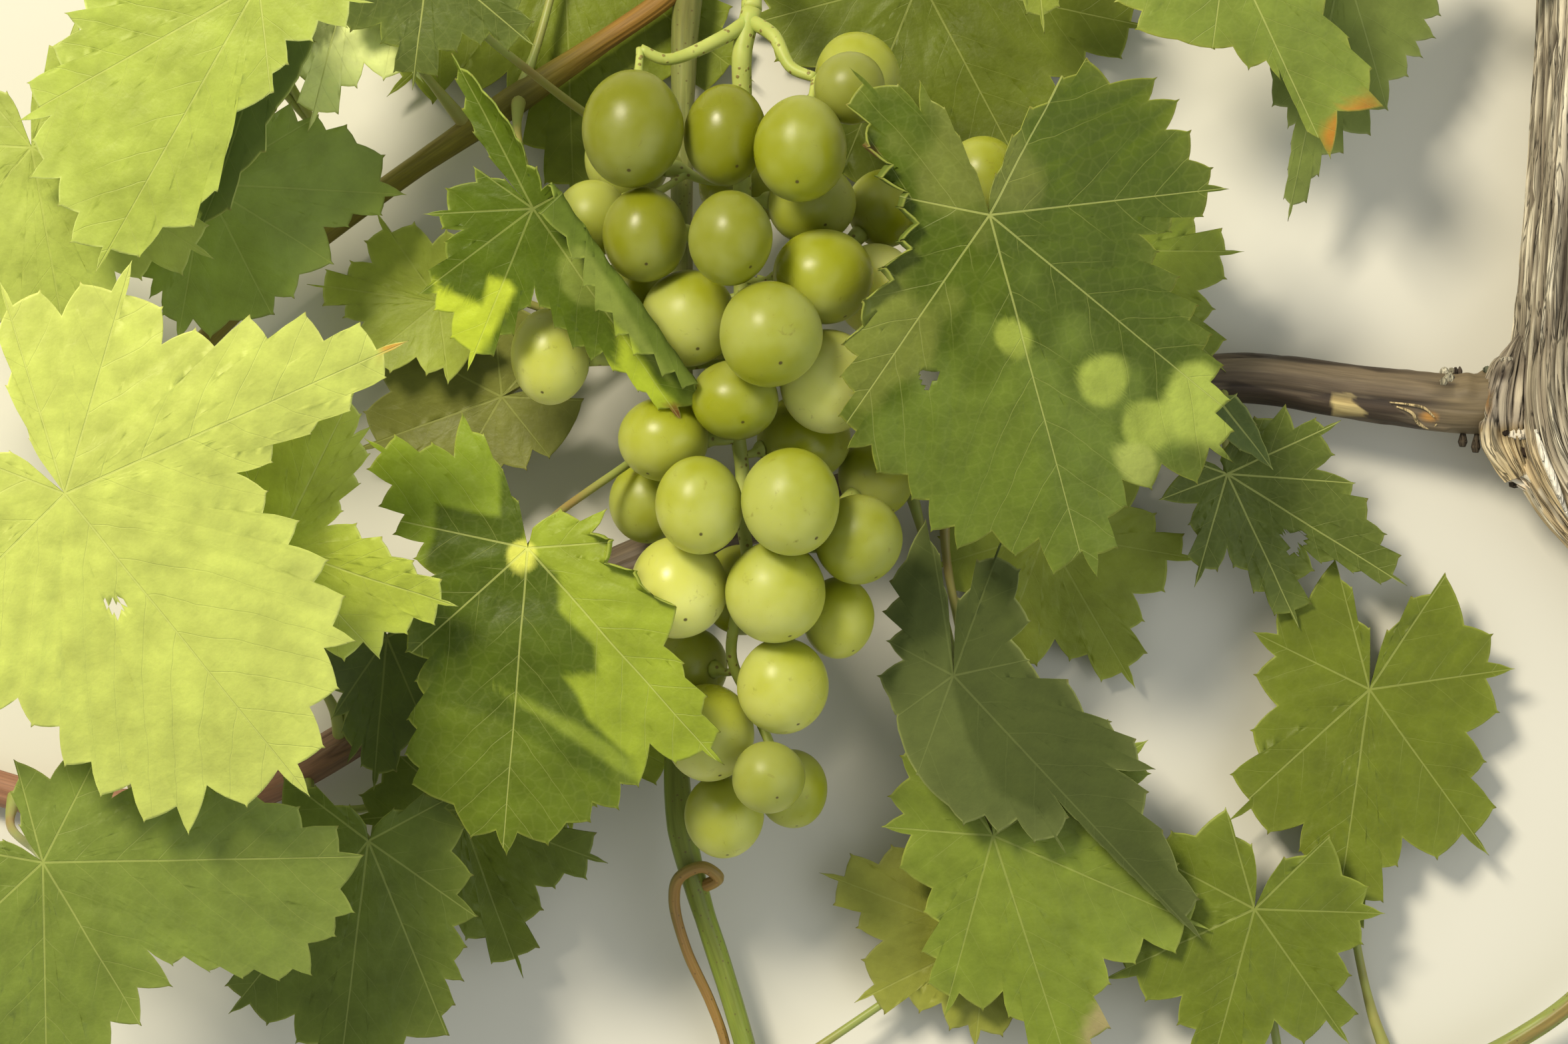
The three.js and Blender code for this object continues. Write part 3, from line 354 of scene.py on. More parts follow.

# Sawn vine wood: pale tan end grain, with a ring of pores about every 1.4 mm round a brown pith; the dry
# checks along its rays are not drawn. It is dull.
RING_WIDTH = 1.4
sawn_wood, tree = new_material("sawn_vine_wood")
grain = node(tree, "Attribute", attribute_name="grain").outputs["Vector"]
flat = node(tree, "Mapping", {"Vector": grain, "Scale": (1, 1, 0)})
from_pith = node(tree, "VectorMath", {0: flat}, operation="LENGTH")
ring = node(tree, "Math", {0: from_pith, 1: RING_WIDTH / 2}, operation="PINGPONG")
ring_share = node(tree, "MapRange", {"Value": ring, "From Min": 0.0, "From Max": RING_WIDTH / 2})
pores = node(tree, "TexNoise", {"Vector": grain, "Scale": 2.2, "Detail": 4.0})
mixed = node(tree, "Math", {0: ring_share, 1: pores}, operation="MULTIPLY")
wood_colour = node(tree, "Mix", {0: mixed, 6: srgb("#8a6a45"), 7: srgb("#d8bf94")}, data_type="RGBA")
surfaced(tree, mixed, 0.5, 0.3, {
    "Base Color": wood_colour, "Roughness": 0.85, "Specular IOR Level": 0.25})

trunk = wrapped_limb("trunk_bark", TRUNK, TRUNK_RADII, 250, 330, trunk_relief, trunk_tints)
bpy.ops.object.mode_set(mode="EDIT")
for cut_y, outward in ((HEAD_Y, 1), (FOOT_Y, -1)):
    bpy.ops.mesh.select_all(action="SELECT")
    bpy.ops.mesh.bisect(
        plane_co=in_metres((0, cut_y, 0)), plane_no=(0, outward, 0), use_fill=True, clear_outer=True)
    bpy.ops.mesh.poke()
bpy.ops.mesh.select_all(action="DESELECT")
bpy.ops.object.mode_set(mode="OBJECT")
for face in trunk.data.polygons:
    centre_y = face.center.y / MM - SHIFT[1]
    at_cut = min(abs(centre_y - HEAD_Y), abs(centre_y - FOOT_Y)) < ON_CUT
    face.material_index = 1 if at_cut and abs(face.normal.y) > 0.9 else 0
# The last corner on each cut is the poked face's middle, where the rings have their pith.
drawn_y = np.array([corner.co.y for corner in trunk.data.vertices]) / MM - SHIFT[1]
along_grain = np.empty(len(drawn_y) * 3, dtype=np.float32)
trunk.data.attributes["grain"].data.foreach_get("vector", along_grain)
for cut_y in (HEAD_Y, FOOT_Y):
    pith = np.flatnonzero(np.abs(drawn_y - cut_y) < ON_CUT)[-1]
    along_grain[3 * pith:3 * pith + 2] = 0
trunk.data.attributes["grain"].data.foreach_set("vector", along_grain)
smooth_limb(trunk, "bark", "trunk", old_bark, sawn_wood)


# Knuckle: the fluted swelling round the arm's root, grown from many years of pruning, and the torn root
# of it that runs down into the trunk. Both are the same dead bark. A grey scale, warts, nubs and a
# bleached splinter sit on them, each at the height of the limb that carries it.
KNUCKLE = [(141.6, 36.5, 15), (140.4, 30, 16), (139.3, 23, 16.5), (139.4, 16, 16.5), (142, 9, 17)]
KNUCKLE_RADII = [0.8, 4.6, 6.6, 6.4, 4]
TORN_ROOT = [(137.8, 17.5, 16), (140.8, 12.5, 16.5), (144.6, 8, 17.5), (149, 2.5, 18.5)]
TORN_ROOT_RADII = [4.4, 4.6, 3.1, 1.6]
LIMB_STEPS = 240


def tube(places, radii, around, steps):
    """A closed round stalk through true places: its corners and its faces."""
    middle, heading, _ = curve(places, steps + 1)
    normals, sides = rims(heading)
    turn = np.arange(around) * 2 * math.pi / around
    radius = np.interp(np.linspace(0, 1, steps + 1), np.linspace(0, 1, len(radii)), radii)
    outward = normals[:, None] * np.cos(turn)[None, :, None] + sides[:, None] * np.sin(turn)[None, :, None]
    corners = (middle[:, None] + outward * radius[:, None, None]).reshape(-1, 3)
    first, last = len(corners), len(corners) + 1
    faces = []
    for j in range(around):
        k = (j + 1) % around
        faces += [(row + j, row + k, row + around + k, row + around + j)
                  for row in range(0, steps * around, around)]
        faces += [(first, k, j), (last, steps * around + j, steps * around + k)]
    return np.vstack([corners, middle[:1], middle[-1:]]), faces


def fused(shapes):
    """Several shapes' corners and faces as one mesh."""
    corners = np.vstack([shape[0] for shape in shapes])
    faces = []
    first = 0
    for shape_corners, shape_faces in shapes:
        faces += [tuple(corner + first for corner in face) for face in shape_faces]
        first += len(shape_corners)
    return corners, faces


def mesh_piece(name, corners, faces):
    mesh = bpy.data.meshes.new(name)
    mesh.from_pydata(in_metres(corners), [], faces)
    piece = bpy.data.objects.new(name, mesh)
    bpy.context.scene.collection.objects.link(piece)
    mesh.polygons.foreach_set("use_smooth", np.ones(len(mesh.polygons), dtype=bool))
    return piece


def height_on(points, radii, x, y):
    """How high the skin of a limb lies at a place on it, given as it looks."""
    middle = curve(seen(points), LIMB_STEPS + 1)[0]
    apart = np.hypot(*(looks(middle) - (x, y)).T)
    i = int(np.argmin(apart))
    radius = np.interp(i / LIMB_STEPS, np.linspace(0, 1, len(radii)), radii)
    return middle[i, 2] + math.sqrt(max(radius**2 - apart[i] ** 2, 0))


def knuckle_relief(turn, along, share):
    flutes = np.minimum(np.abs(strips(turn, along, 34, 12, 71)) * 4, 1)
    swell = strips(turn, along, 9, 7, 72)
    return 0.8 * (flutes - 0.8) + 0.9 * swell + 0.25 * strips(turn, along, 70, 4, 73)


def torn_relief(turn, along, share):
    strands = np.minimum(np.abs(strips(turn, along, 26, 16, 76)) * 4, 1)
    return strands - 0.8 + 0.5 * strips(turn, along, 8, 6, 77) + 0.3 * strips(turn, along, 70, 7, 75)


def knuckle_tints(turn, along, height, place):
    x, y = looks(place).T
    ridges = strips(turn, along, 34, 12, 71)
    scaly = np.clip((y - 27) / 2, 0, 1)
    pale_rim = np.clip(1.6 - np.abs(x - 133.1) / 0.9, 0, 1) * np.clip((3.6 - np.abs(y - 22.8)) * 2, 0, 1)
    hollow = np.clip(1.5 - np.hypot((x - 134.7) / 0.7, (y - 22.9) / 2.2), 0, 1)
    eye = np.clip(1.4 - np.hypot(x - 137.4, y - 28.2) / 1.3, 0, 1)
    low = np.clip((19.5 - y) / 2, 0, 1)
    return tinted("#968b79", [
        ("#a79e90", np.clip(strips(turn, along, 17, 14, 74) * 2, 0, 1) * 0.6),
        ("#6f6553", scaly * 0.6),
        ("#806c44", low * 0.8),
        ("#dcc79a", torn_share(place) * np.clip((16.5 - y) / 2, 0, 1) * 0.9),
        ("#d9ceb0", np.clip(height * 1.6 - 0.2, 0, 1) * 0.6),
        ("#d8d2b4", pale_rim * 0.85),
        ("#7c5a2b", hollow * 0.85),
        ("#3a3028", eye * 0.8),
        # painted shade in the grooves between the flutes
        ("#38302a", np.clip(0.12 - np.abs(ridges), 0, 0.12) * 7),
    ])


def torn_tints(turn, along, height, place):
    hairs = strips(turn, along, 70, 7, 75)
    strands = np.abs(strips(turn, along, 26, 16, 76))
    orange = np.clip(strips(turn, along, 7, 5, 78) * 2, 0, 1)
    return tinted("#f0e5c8", [
        ("#c08c4c", orange * 0.45),
        ("#faf4e0", np.clip(hairs * 2, 0, 1) * 0.8),
        ("#8a6a3a", np.clip(-hairs * 1.8, 0, 1) * 0.35),
        # painted shade in the grooves between the torn strands
        ("#33281e", np.clip(0.1 - strands, 0, 0.1) * 9),
    ])


knuckle = wrapped_limb("knuckle_bark", KNUCKLE, KNUCKLE_RADII, 150, 170, knuckle_relief, knuckle_tints)
smooth_limb(knuckle, "bark", "trunk", old_bark)
torn_root = wrapped_limb("torn_root", TORN_ROOT, TORN_ROOT_RADII, 110, 130, torn_relief, torn_tints)
smooth_limb(torn_root, "bark", "trunk", old_bark)

# Each row is a lump's place as it looks, its reach along x, y and z, its colour, and the limb it sits on.
KNUCKLE_LUMPS = [
    (142.7, 25, (2.5, 3, 0.8), "#988f81", "knuckle"), (126.3, 28.6, (1, 1.1, 1), "#b8b39d", "arm"),
    (127.2, 27.4, (1.1, 1.2, 1), "#aba58c", "arm"), (126.2, 26.8, (0.8, 0.9, 0.8), "#9a937b", "arm"),
    (127.7, 28.8, (0.7, 0.8, 0.7), "#8f8a74", "arm"), (128.5, 28.8, (0.5, 0.9, 0.6), "#4f463c", "arm"),
    (129.3, 28.6, (0.5, 1.2, 0.6), "#4f463c", "arm"), (134.5, 29.1, (0.8, 0.8, 0.8), "#5f6350", "arm"),
    (138.4, 31.1, (1.6, 0.6, 0.6), "#b3ab95", "knuckle"),
    (140.6, 16.8, (2.25, 1.15, 0.6), "#e4dac4", "knuckle"),
    (138.1, 17, (0.7, 0.7, 0.4), "#2d241c", "knuckle"), (137.2, 11.8, (0.7, 0.7, 0.4), "#2d241c", "root"),
    (141.8, 13.8, (1, 1.5, 0.4), "#33281e", "knuckle"),
]
# Nubs and a spur that hang from the arm's and the root's lower edge: from inside the wood to the tip.
NUBS = [
    [(130, 18, 13.6), (129.9, 16.4, 13.6), (129.8, 14.4, 13.8)],
    [(132.6, 17.4, 14), (132.4, 15.4, 14), (132.3, 13.3, 14.2)],
    [(142.4, 8.4, 16.5), (140.8, 7.5, 16.5), (138.7, 7.3, 16.3)],
]
SPLINTER = [(143.8, 17.7), (145.4, 12.5), (147.2, 8.2), (150, 1.1)]
CARRIERS = {
    "trunk": (TRUNK, TRUNK_RADII), "knuckle": (KNUCKLE, KNUCKLE_RADII),
    "root": (TORN_ROOT, TORN_ROOT_RADII),
}


def lump(at, reach, seed):
    """A creased round lump: its corners and its faces."""
    bpy.ops.mesh.primitive_ico_sphere_add(subdivisions=4, radius=1)
    ball = bpy.context.object
    directions = np.array([corner.co for corner in ball.data.vertices])
    faces = [tuple(face.vertices) for face in ball.data.polygons]
    bpy.data.objects.remove(ball)
    height = np.array([
        0.2 * noise.noise(Vector(d) * 2.1 + Vector((seed, 0, 0)))
        - 0.25 * abs(noise.noise(Vector(d) * 4.6 + Vector((0, seed, 0))))
        for d in directions])
    return seen(at) + directions * np.array(reach) * (1 + height)[:, None], faces


# Arm and side cane: last year's wood, a few millimetres thick, in smooth brown bark that has begun to
# split and peel along its length. The arm is purplish brown above and nearly black where the bark has
# lifted.
ARM = [
    (150, 24, 15), (132, 22.6, 13.5), (110, 24.7, 12), (85.5, 27.6, 10), (48, 20, 9.5), (16, 6.6, 9),
    (-20, -4.4, 9), (-60, -24.6, 9), (-81, -40.4, 8), (-106.5, -53, 6.5), (-136.5, -54, 4.4),
    (-160, -48, 2.6),
]
ARM_RADII = [6.2, 5.6, 5, 4.6, 4.5, 4.4, 4.4, 4.8, 4.4, 4, 3.8, 3.6, 3.4]
SIDE_CANE = [
    (-18, 105, 9.5), (-23, 100, 10), (-36, 91, 10.5), (-51, 81, 11), (-75, 64.7, 11), (-98, 47, 10),
    (-120, 25, 7), (-131, 12, 4),
]
SIDE_CANE_RADII = [2.1, 2.1, 3, 2.2, 2.2, 2.2, 2, 1.8]


def cane_relief(turn, along, share):
    wander = turn + 0.2 * strips(turn, along, 4, 30, 31)
    splits = np.minimum(np.abs(strips(wander, along, 9, 40, 32)) * 5, 1)
    near_trunk = np.exp(-((along / 26) ** 2))
    warts = np.maximum(strips(turn, along, 13, 4, 34), 0) ** 2 * near_trunk
    return 0.35 * (splits - 0.8) + 0.12 * strips(wander, along, 30, 12, 33) + 1.6 * warts


PEEL_BORDER_X = [86.1, 95.4, 99.7, 104.5, 112, 115.5, 120.7, 122.7]
PEEL_BORDER_Y = [27.4, 25, 24.2, 24.7, 24.4, 23.3, 19.4, 17.6]
TOP_EDGE_X = [86, 99.7, 109.1, 113.9, 124.9]
TOP_EDGE_Y = [32.4, 30.6, 30, 28.9, 28.3]
BARE_LEFT, BARE_RIGHT, BARE_TOP, BARE_FOOT = 104.7, 108.2, 24.8, 19.9
ORANGE_LENS = (123.4, 20.1)


def arm_tints(turn, along, height, place):
    x, y = looks(place).T
    wander = turn + 0.2 * strips(turn, along, 4, 30, 31)
    streaks = strips(wander, along, 9, 55, 35)
    fine = strips(wander, along, 40, 10, 36)
    below = np.interp(x, PEEL_BORDER_X, PEEL_BORDER_Y) + 0.25 * fine - y
    peeled = np.clip(below * 3, 0, 1) * np.clip((123.5 - x) / 1.5, 0, 1) * np.clip((x - 20) / 40, 0, 1)
    slanted = BARE_RIGHT + 0.8 * (BARE_TOP - y) - x + 0.7 * fine
    bare = np.clip((x - BARE_LEFT) * 4, 0, 1) * np.clip((BARE_TOP - y) * 3, 0, 1)
    bare *= np.clip(slanted * 3, 0, 1) * np.clip((y - BARE_FOOT) * 1.2, 0, 1)
    lens = np.clip(1.4 - np.hypot((x - ORANGE_LENS[0]) / 1.6, (y - ORANGE_LENS[1]) / 0.9), 0, 1)
    edge = np.clip((y - np.interp(x, TOP_EDGE_X, TOP_EDGE_Y) + 0.45) * 3, 0, 1)
    edge *= np.clip((122 - x) / 8, 0, 1)
    rosy = np.clip((-70 - x) / 30, 0, 1)
    ruddy = np.clip((x - 122) / 6, 0, 1)
    return tinted("#5f5240", [
        ("#796b54", np.clip(streaks * 2, 0, 1) * 0.7),
        ("#74664a", ruddy * 0.7),
        ("#a37257", rosy * 0.75),
        ("#3b3026", peeled * 0.85),
        ("#cdb97e", bare * 0.92),
        ("#8a7546", bare * np.clip(-fine * 2, 0, 1) * 0.6),
        ("#c08c46", lens),
        ("#9b8c72", np.clip(fine * 2 - 0.8, 0, 1) * 0.35),
        ("#2a2018", edge * 0.8),
        # painted shade in the bark's hollows, darker the deeper they sink
        ("#1f1814", (-height - 0.12) * 3),
    ])


def side_cane_tints(turn, along, height, place):
    node_dark = np.exp(-(((place[:, 0] + 51) / 5) ** 2))
    upper = np.clip((place[:, 0] + 50) / 18, 0, 1)
    return tinted("#7c7426", [
        ("#8f6628", upper * 0.85),
        ("#6b4a2c", np.clip(-upper + 0.3, 0, 1) * strips(turn, along, 5, 20, 41)),
        ("#4f4a1c", node_dark * 0.6),
        # painted shade in the bark's hollows, darker the deeper they sink
        ("#33241a", (-height - 0.12) * 2.5),
    ])


# Young vine bark: fibrous, with a grain of about 0.5 mm and a slight waxy shine on the smooth parts.
CANE_FIBRE = 0.5
young_bark, tree = new_material("smooth_cane_bark")
grain, fibres, shaded = fibrous(
    tree, (1 / CANE_FIBRE, 1 / CANE_FIBRE, 1 / (20 * CANE_FIBRE)),
    {"Scale": 0.8, "Detail": 4.0, "Roughness": 0.6},
    {"From Min": 0.3, "From Max": 0.7, "To Min": 0.7, "To Max": 1.2})
surfaced(tree, fibres, 0.5, 0.25, {
    "Base Color": shaded, "Roughness": 0.6, "Specular IOR Level": 0.35})

arm = wrapped_limb("arm_bark", ARM, ARM_RADII, 90, 520, cane_relief, arm_tints)
smooth_limb(arm, "cane", "arm", young_bark)
LIFTED_PEEL = [
    [(115.9, 22.9), (119.4, 22.5), (122.5, 21.8), (124.4, 20.1)],
    [(117.2, 22.1), (120.1, 20.9), (121.6, 18.7), (123.8, 18), (124.9, 18.7)],
]
CARRIERS["arm"] = (ARM, ARM_RADII)
LUMP_SINK = 0.3
PEEL_LIFT = 0.25
trimmings = []
for i, (x, y, reach, code, carrier) in enumerate(KNUCKLE_LUMPS):
    at = (x, y, height_on(*CARRIERS[carrier], x, y) - LUMP_SINK)
    trimmings.append((lump(at, reach, 5.0 + i), code))
for path in NUBS:
    trimmings.append((tube(seen(path), [0.5, 0.5, 0.75, 0.95, 0.6], 14, 24), "#4b4235"))
splinter = [(x, y, height_on(TRUNK, TRUNK_RADII, x, y)) for x, y in SPLINTER]
trimmings.append((tube(seen(splinter), [0.3, 0.7, 0.8, 0.6, 0.3], 12, 60), "#efe8d4"))
for path, radii in zip(LIFTED_PEEL, ([0.12, 0.22, 0.28, 0.2], [0.15, 0.3, 0.4, 0.35, 0.15])):
    raised = [(x, y, height_on(ARM, ARM_RADII, x, y) + PEEL_LIFT) for x, y in path]
    trimmings.append((tube(seen(raised), radii, 8, 40), "#cdb888"))
trim_places, trim_faces = fused([shape for shape, _ in trimmings])
knuckle_trim = mesh_piece("knuckle_trimmings", trim_places, trim_faces)
give(knuckle_trim.data, "tint", "FLOAT_COLOR", "POINT", np.vstack([
    np.tile(srgb(code), (len(shape[0]), 1)) for shape, code in trimmings]))
give(knuckle_trim.data, "grain", "FLOAT_VECTOR", "POINT", trim_places[:, [0, 2, 1]])
finished(knuckle_trim, "bark", "trunk", old_bark)


def side_cane_relief(turn, along, share):
    return 0.45 * cane_relief(turn, along + 80, share)


side_cane = wrapped_limb(
    "side_cane_bark", SIDE_CANE, SIDE_CANE_RADII, 48, 300, side_cane_relief, side_cane_tints)
smooth_limb(side_cane, "cane", "side_cane", young_bark)


# Green shoots and the tendril: this year's growth, smooth and faintly ribbed along its length, swollen at
# the joints where leaves leave it. Young stem skin is waxy, so it has a soft shine.
SHOOTS = {
    "shoot_up": dict(
        points=[(-20, -4.4, 9), (-19.5, 30, 7), (-19.5, 62, 7), (-19, 92, 8), (-18, 106, 9.5),
            (-17.5, 122, 9)], radii=[2.7, 2.2, 2.1, 2.1, 2.2, 2.9, 2], skin="#84894a", flush="#6d6a35"),
    "shoot_down": dict(
        points=[(-20, -4.4, 9), (-20.5, -30, 9), (-20, -56, 10), (-16.5, -71, 11), (-12, -85, 10),
            (-7.5, -100, 8), (-5, -110, 6)], radii=[2.8, 2.2, 2.2, 2.9, 2.1, 2.1, 2], skin="#7f8f34",
        flush="#6c7428"),
    "base_shoot": dict(
        points=[(188, -34, 14), (172, -66, 12), (148, -94, 8), (118, -108, 5), (88, -112, 3.5),
            (78, -112, 3)], radii=[2.3, 2.1, 2, 1.9, 1.7, 1.6], skin="#8a9445", flush="#8a6a3c"),
    "top_shoot": dict(
        points=[(150, 104, 22), (132, 110, 30), (108, 116, 34), (82, 119, 32), (52, 119, 24),
            (34, 116, 15)], radii=[2.4, 2.2, 2.1, 2, 1.8, 1.6], skin="#8d9a42", flush="#94703c"),
    "tendril": dict(
        points=[(-16, -70, 11), (-12.6, -68, 15), (-15.5, -66, 16), (-20, -68, 15), (-21, -72.5, 13),
            (-18.6, -82, 11), (-14, -92, 9), (-11.2, -100, 7), (-10.6, -107, 5)],
        radii=[1.2, 1.1, 1, 0.9], skin="#94743a", flush="#87893c"),
}
green_skin, tree = new_material("green_shoot_skin")
grain, ribs, shaded = fibrous(
    tree, (1.6, 1.6, 0.12), {"Scale": 1.0, "Detail": 3.0},
    {"From Min": 0.3, "From Max": 0.7, "To Min": 0.82, "To Max": 1.15})
specks = node(tree, "TexVoronoi", {"Vector": grain, "Scale": 0.7, "Randomness": 1.0})
speck_share = node(tree, "MapRange", {
    "Value": specks, "From Min": 0.1, "From Max": 0.17, "To Min": 0.7, "To Max": 0.0})
speckled = node(tree, "Mix", {0: speck_share, 6: shaded, 7: srgb("#5d4a2a")}, data_type="RGBA")
surfaced(tree, ribs, 0.4, 0.2, {
    "Base Color": speckled, "Roughness": 0.45, "Specular IOR Level": 0.4, "Subsurface Weight": 0.15,
    "Subsurface Scale": 1.0 * MM})


def shoot_relief(turn, along, share):
    return 0.07 * np.cos(9 * turn) + 0.1 * strips(turn, along, 7, 9, 51)


for name, shoot in SHOOTS.items():
    def shoot_tints(turn, along, height, place, skin=shoot["skin"], flush=shoot["flush"]):
        return tinted(skin, [(flush, np.clip(strips(turn, along, 4, 22, 52) * 1.6, 0, 1) * 0.7)])
    piece = wrapped_limb(
        f"{name}_skin", shoot["points"], shoot["radii"], 32, 200, shoot_relief, shoot_tints)
    smooth_limb(piece, "shoot", name, green_skin)


# Bunch: berries about 18 to 20 mm wide, hung on short green stalks from one branched stalk. A ripe green
# grape is a thin waxy skin over clear yellow-green pulp, with a pale bloom, faint freckles and a brown
# dot opposite its stalk. Each berry starts at the front of the bunch and moves back until it clears those
# already hung.
GRAPES = [
    (-2.5, 35.9, 9.9, 10.2), (3.2, 71.4, 9, 10.2), (-29, 75.2, 9.9, 11.2), (1.2, 3.9, 9.5, 10.3),
    (-1.8, -13.4, 9.6, 9.8), (7.4, 47, 9.7, 9.2), (-0.3, -31.4, 8.7, 9.3), (-16.2, 3.2, 8.3, 9.6),
    (-2.9, -48.9, 7, 6.9), (-26.6, 54.9, 8.1, 9.2), (-10.2, 54.3, 8.1, 9), (-18.2, 39, 9.2, 9.3),
    (-11.3, 74.1, 8, 9.6), (-9.5, 23.4, 8.4, 7.8), (-23.1, 15.9, 8.7, 8.1), (8.4, 26.9, 9.3, 10.2),
    (14.3, -3.3, 8.4, 8.7), (-20.1, -12.6, 9.3, 9.9), (10.5, -18.3, 6.9, 7.8), (-14.3, -40.4, 8.7, 9.3),
    (-11.4, -56.1, 7.7, 8.1), (-44.7, 31.7, 7.7, 9.3), (12.5, 83.1, 6.8, 7), (17.7, 44.4, 8, 9),
]
INNER_GRAPES = [
    (-36.6, 58.2, 7, 7.4), (5.3, 61, 8.4, 8), (-29, 42, 8, 8.4), (3.8, 15.9, 9, 8.4),
    (17.7, 8.7, 7.4, 7.6), (-26, 3.9, 7.6, 8, 26), (-36, 13.7, 6.9, 7.5, 24), (19, 60, 7, 7.6),
    (-18.3, -27.6, 7.4, 7.6), (-12.7, -24.6, 7.4, 7.8), (1.5, -51, 6.8, 7.6), (23, -2, 7, 7.6),
    (37.9, 66, 7.4, 8),
]
BUNCH_AXIS_X = -8
BUNCH_AXIS_Z = 40
BERRY_PLUMP = 0.97
DEEPEST = 20.5
INNER_BACK = 6
BACK_RADIUS = 8.2
BACK_PITCH = 15.5
BACK_ROWS = 9
BACK_FROM_Y = -44
BERRY_GAP = 0.3
HANG_STEP = 0.25
PEDICEL_RADIUS = 0.9
LEAST_PEDICEL = 1.2
PEDICEL_SINK = 0.3
BLOCKED = 30


def smooth(value, low, high):
    share = min(max((value - low) / (high - low), 0), 1)
    return share * share * (3 - 2 * share)


def berry_at(row, z):
    x, y, half_width, half_height = row[:4]
    return seen((x, y, z)), np.array([half_width, half_height, half_width * BERRY_PLUMP]) * nearness(z)


def reach_along(radii, direction):
    return 1 / np.linalg.norm(direction / radii, axis=-1)


def has_room(berry, others):
    if not others:
        return True
    middles = np.array([other[0] for other in others])
    radii = np.array([other[1] for other in others])
    apart = berry[0] - middles
    distance = np.linalg.norm(apart, axis=1)
    apart /= distance[:, None]
    return bool(np.all(distance - reach_along(radii, apart) - reach_along(berry[1], apart) > BERRY_GAP))


def front_of(x, y):
    return BUNCH_AXIS_Z + 7 + 14 * smooth(y, -60, 20) - 0.016 * (x - BUNCH_AXIS_X) ** 2


hung = []


def hang(row, start):
    z = start
    while z > DEEPEST:
        berry = berry_at(row, z)
        if has_room(berry, hung):
            hung.append(berry)
            return berry
        z -= HANG_STEP
    return None


outer_berries = [hang(row, front_of(row[0], row[1])) for row in GRAPES]
for row in INNER_GRAPES:
    hang(row, row[4] if len(row) > 4 else front_of(row[0], row[1]) - INNER_BACK)
for back_row in range(BACK_ROWS):
    y = BACK_FROM_Y + BACK_PITCH * back_row
    for side in (-1, 0, 1):
        breadth = 8 + 14 * smooth(y, -50, 40)
        depth = 9 + 8 * smooth(y, -50, 30) - 5 * abs(side)
        row = (BUNCH_AXIS_X + side * breadth, y + 5 * abs(side), BACK_RADIUS, BACK_RADIUS * 1.06)
        berry = berry_at(row, max(BUNCH_AXIS_Z - depth, DEEPEST))
        if has_room(berry, hung):
            hung.append(berry)
middles = np.array([berry[0] for berry in hung])
sizes = np.array([berry[1] for berry in hung])

# The bunch's stalk runs down where the bunch has most room, and each berry's own stalk reaches it, or a
# stalk already there, by the shortest way that clears the other berries.
SPINE_STEPS = 15
SPINE_PITCH = 9
SPINE_FROM_Y = 82
spine = [(-6.2, 98, 36), (-8, 90, 38)]
for step in range(SPINE_STEPS):
    y = SPINE_FROM_Y - SPINE_PITCH * step
    from_x, _, from_z = spine[-1]
    tried = np.array([(x, y, z) for x in from_x + np.arange(-4, 5) for z in from_z + np.arange(-4, 5)])
    apart = (seen(tried)[:, None] - middles) / sizes
    room = np.min((np.linalg.norm(apart, axis=2) - 1) * sizes[:, 0], axis=1)
    strayed = np.hypot(tried[:, 0] - BUNCH_AXIS_X, tried[:, 2] - BUNCH_AXIS_Z + 3)
    spine.append(tuple(tried[np.argmax(np.minimum(room, 4) - 0.08 * strayed)]))
TOP_ARMS = [
    [(-6.6, 96, 36.5), (-12, 92.5, 40), (-22.5, 88.5, 43), (-27.5, 90.5, 44)],
    [(-6.6, 96, 36.5), (-2, 93, 41), (1.4, 87, 44), (6, 85, 46)],
]
PEDUNCLE = [(-18, 108, 9.5), (-11, 113, 18), (-6.5, 108, 30), (-6.2, 98, 36)]
holds = [*curve(seen(spine), 49)[0][3:], *[seen(point) for top_arm in TOP_ARMS for point in top_arm[1:]]]
pedicels = {}
order = sorted(range(len(hung)), key=lambda i: min(np.linalg.norm(hold - middles[i]) for hold in holds))
for i in order:
    best = None
    others = np.arange(len(hung)) != i
    for hold in holds:
        back = hold - middles[i]
        distance = np.linalg.norm(back)
        back /= distance
        skin = reach_along(sizes[i], back)
        if distance < skin + LEAST_PEDICEL:
            continue
        tip = middles[i] + back * (skin - PEDICEL_SINK)
        start = (hold - middles[others]) / sizes[others]
        along = (tip - middles[others]) / sizes[others] - start
        share = np.clip(-np.sum(start * along, axis=1) / np.sum(along**2, axis=1), 0, 1)
        passed = np.linalg.norm(start + along * share[:, None], axis=1) - 1
        free = np.min(passed * sizes[others, 0]) - PEDICEL_RADIUS
        score = min(free - BERRY_GAP, 0) * BLOCKED - distance
        if best is None or score > best[0]:
            best = (score, hold, tip)
    _, hold, tip = best
    pedicels[i] = (hold, tip)
    holds += [hold + (tip - hold) * 0.35, hold + (tip - hold) * 0.7]


# Bunch stalk skin: fresh green, almost woody, with brown corky warts under a millimetre wide.
stalk_skin, tree = new_material("green_bunch_stalk")
place = node(tree, "TexCoord").outputs["Object"]
warts = node(tree, "TexVoronoi", {"Vector": place, "Scale": 620.0, "Randomness": 1.0})
wart_share = node(tree, "MapRange", {
    "Value": warts, "From Min": 0.16, "From Max": 0.26, "To Min": 0.75, "To Max": 0.0})
mottle = node(tree, "TexNoise", {"Vector": place, "Scale": 160.0, "Detail": 3.0})
green = node(tree, "Mix", {0: mottle, 6: srgb("#8f9c3c"), 7: srgb("#bcc46a")}, data_type="RGBA")
warty = node(tree, "Mix", {0: wart_share, 6: green, 7: srgb("#6f5228")}, data_type="RGBA")
surfaced(tree, wart_share, 0.6, 0.25, {
    "Base Color": warty, "Roughness": 0.5, "Specular IOR Level": 0.4, "Subsurface Weight": 0.15,
    "Subsurface Scale": 1.0 * MM})

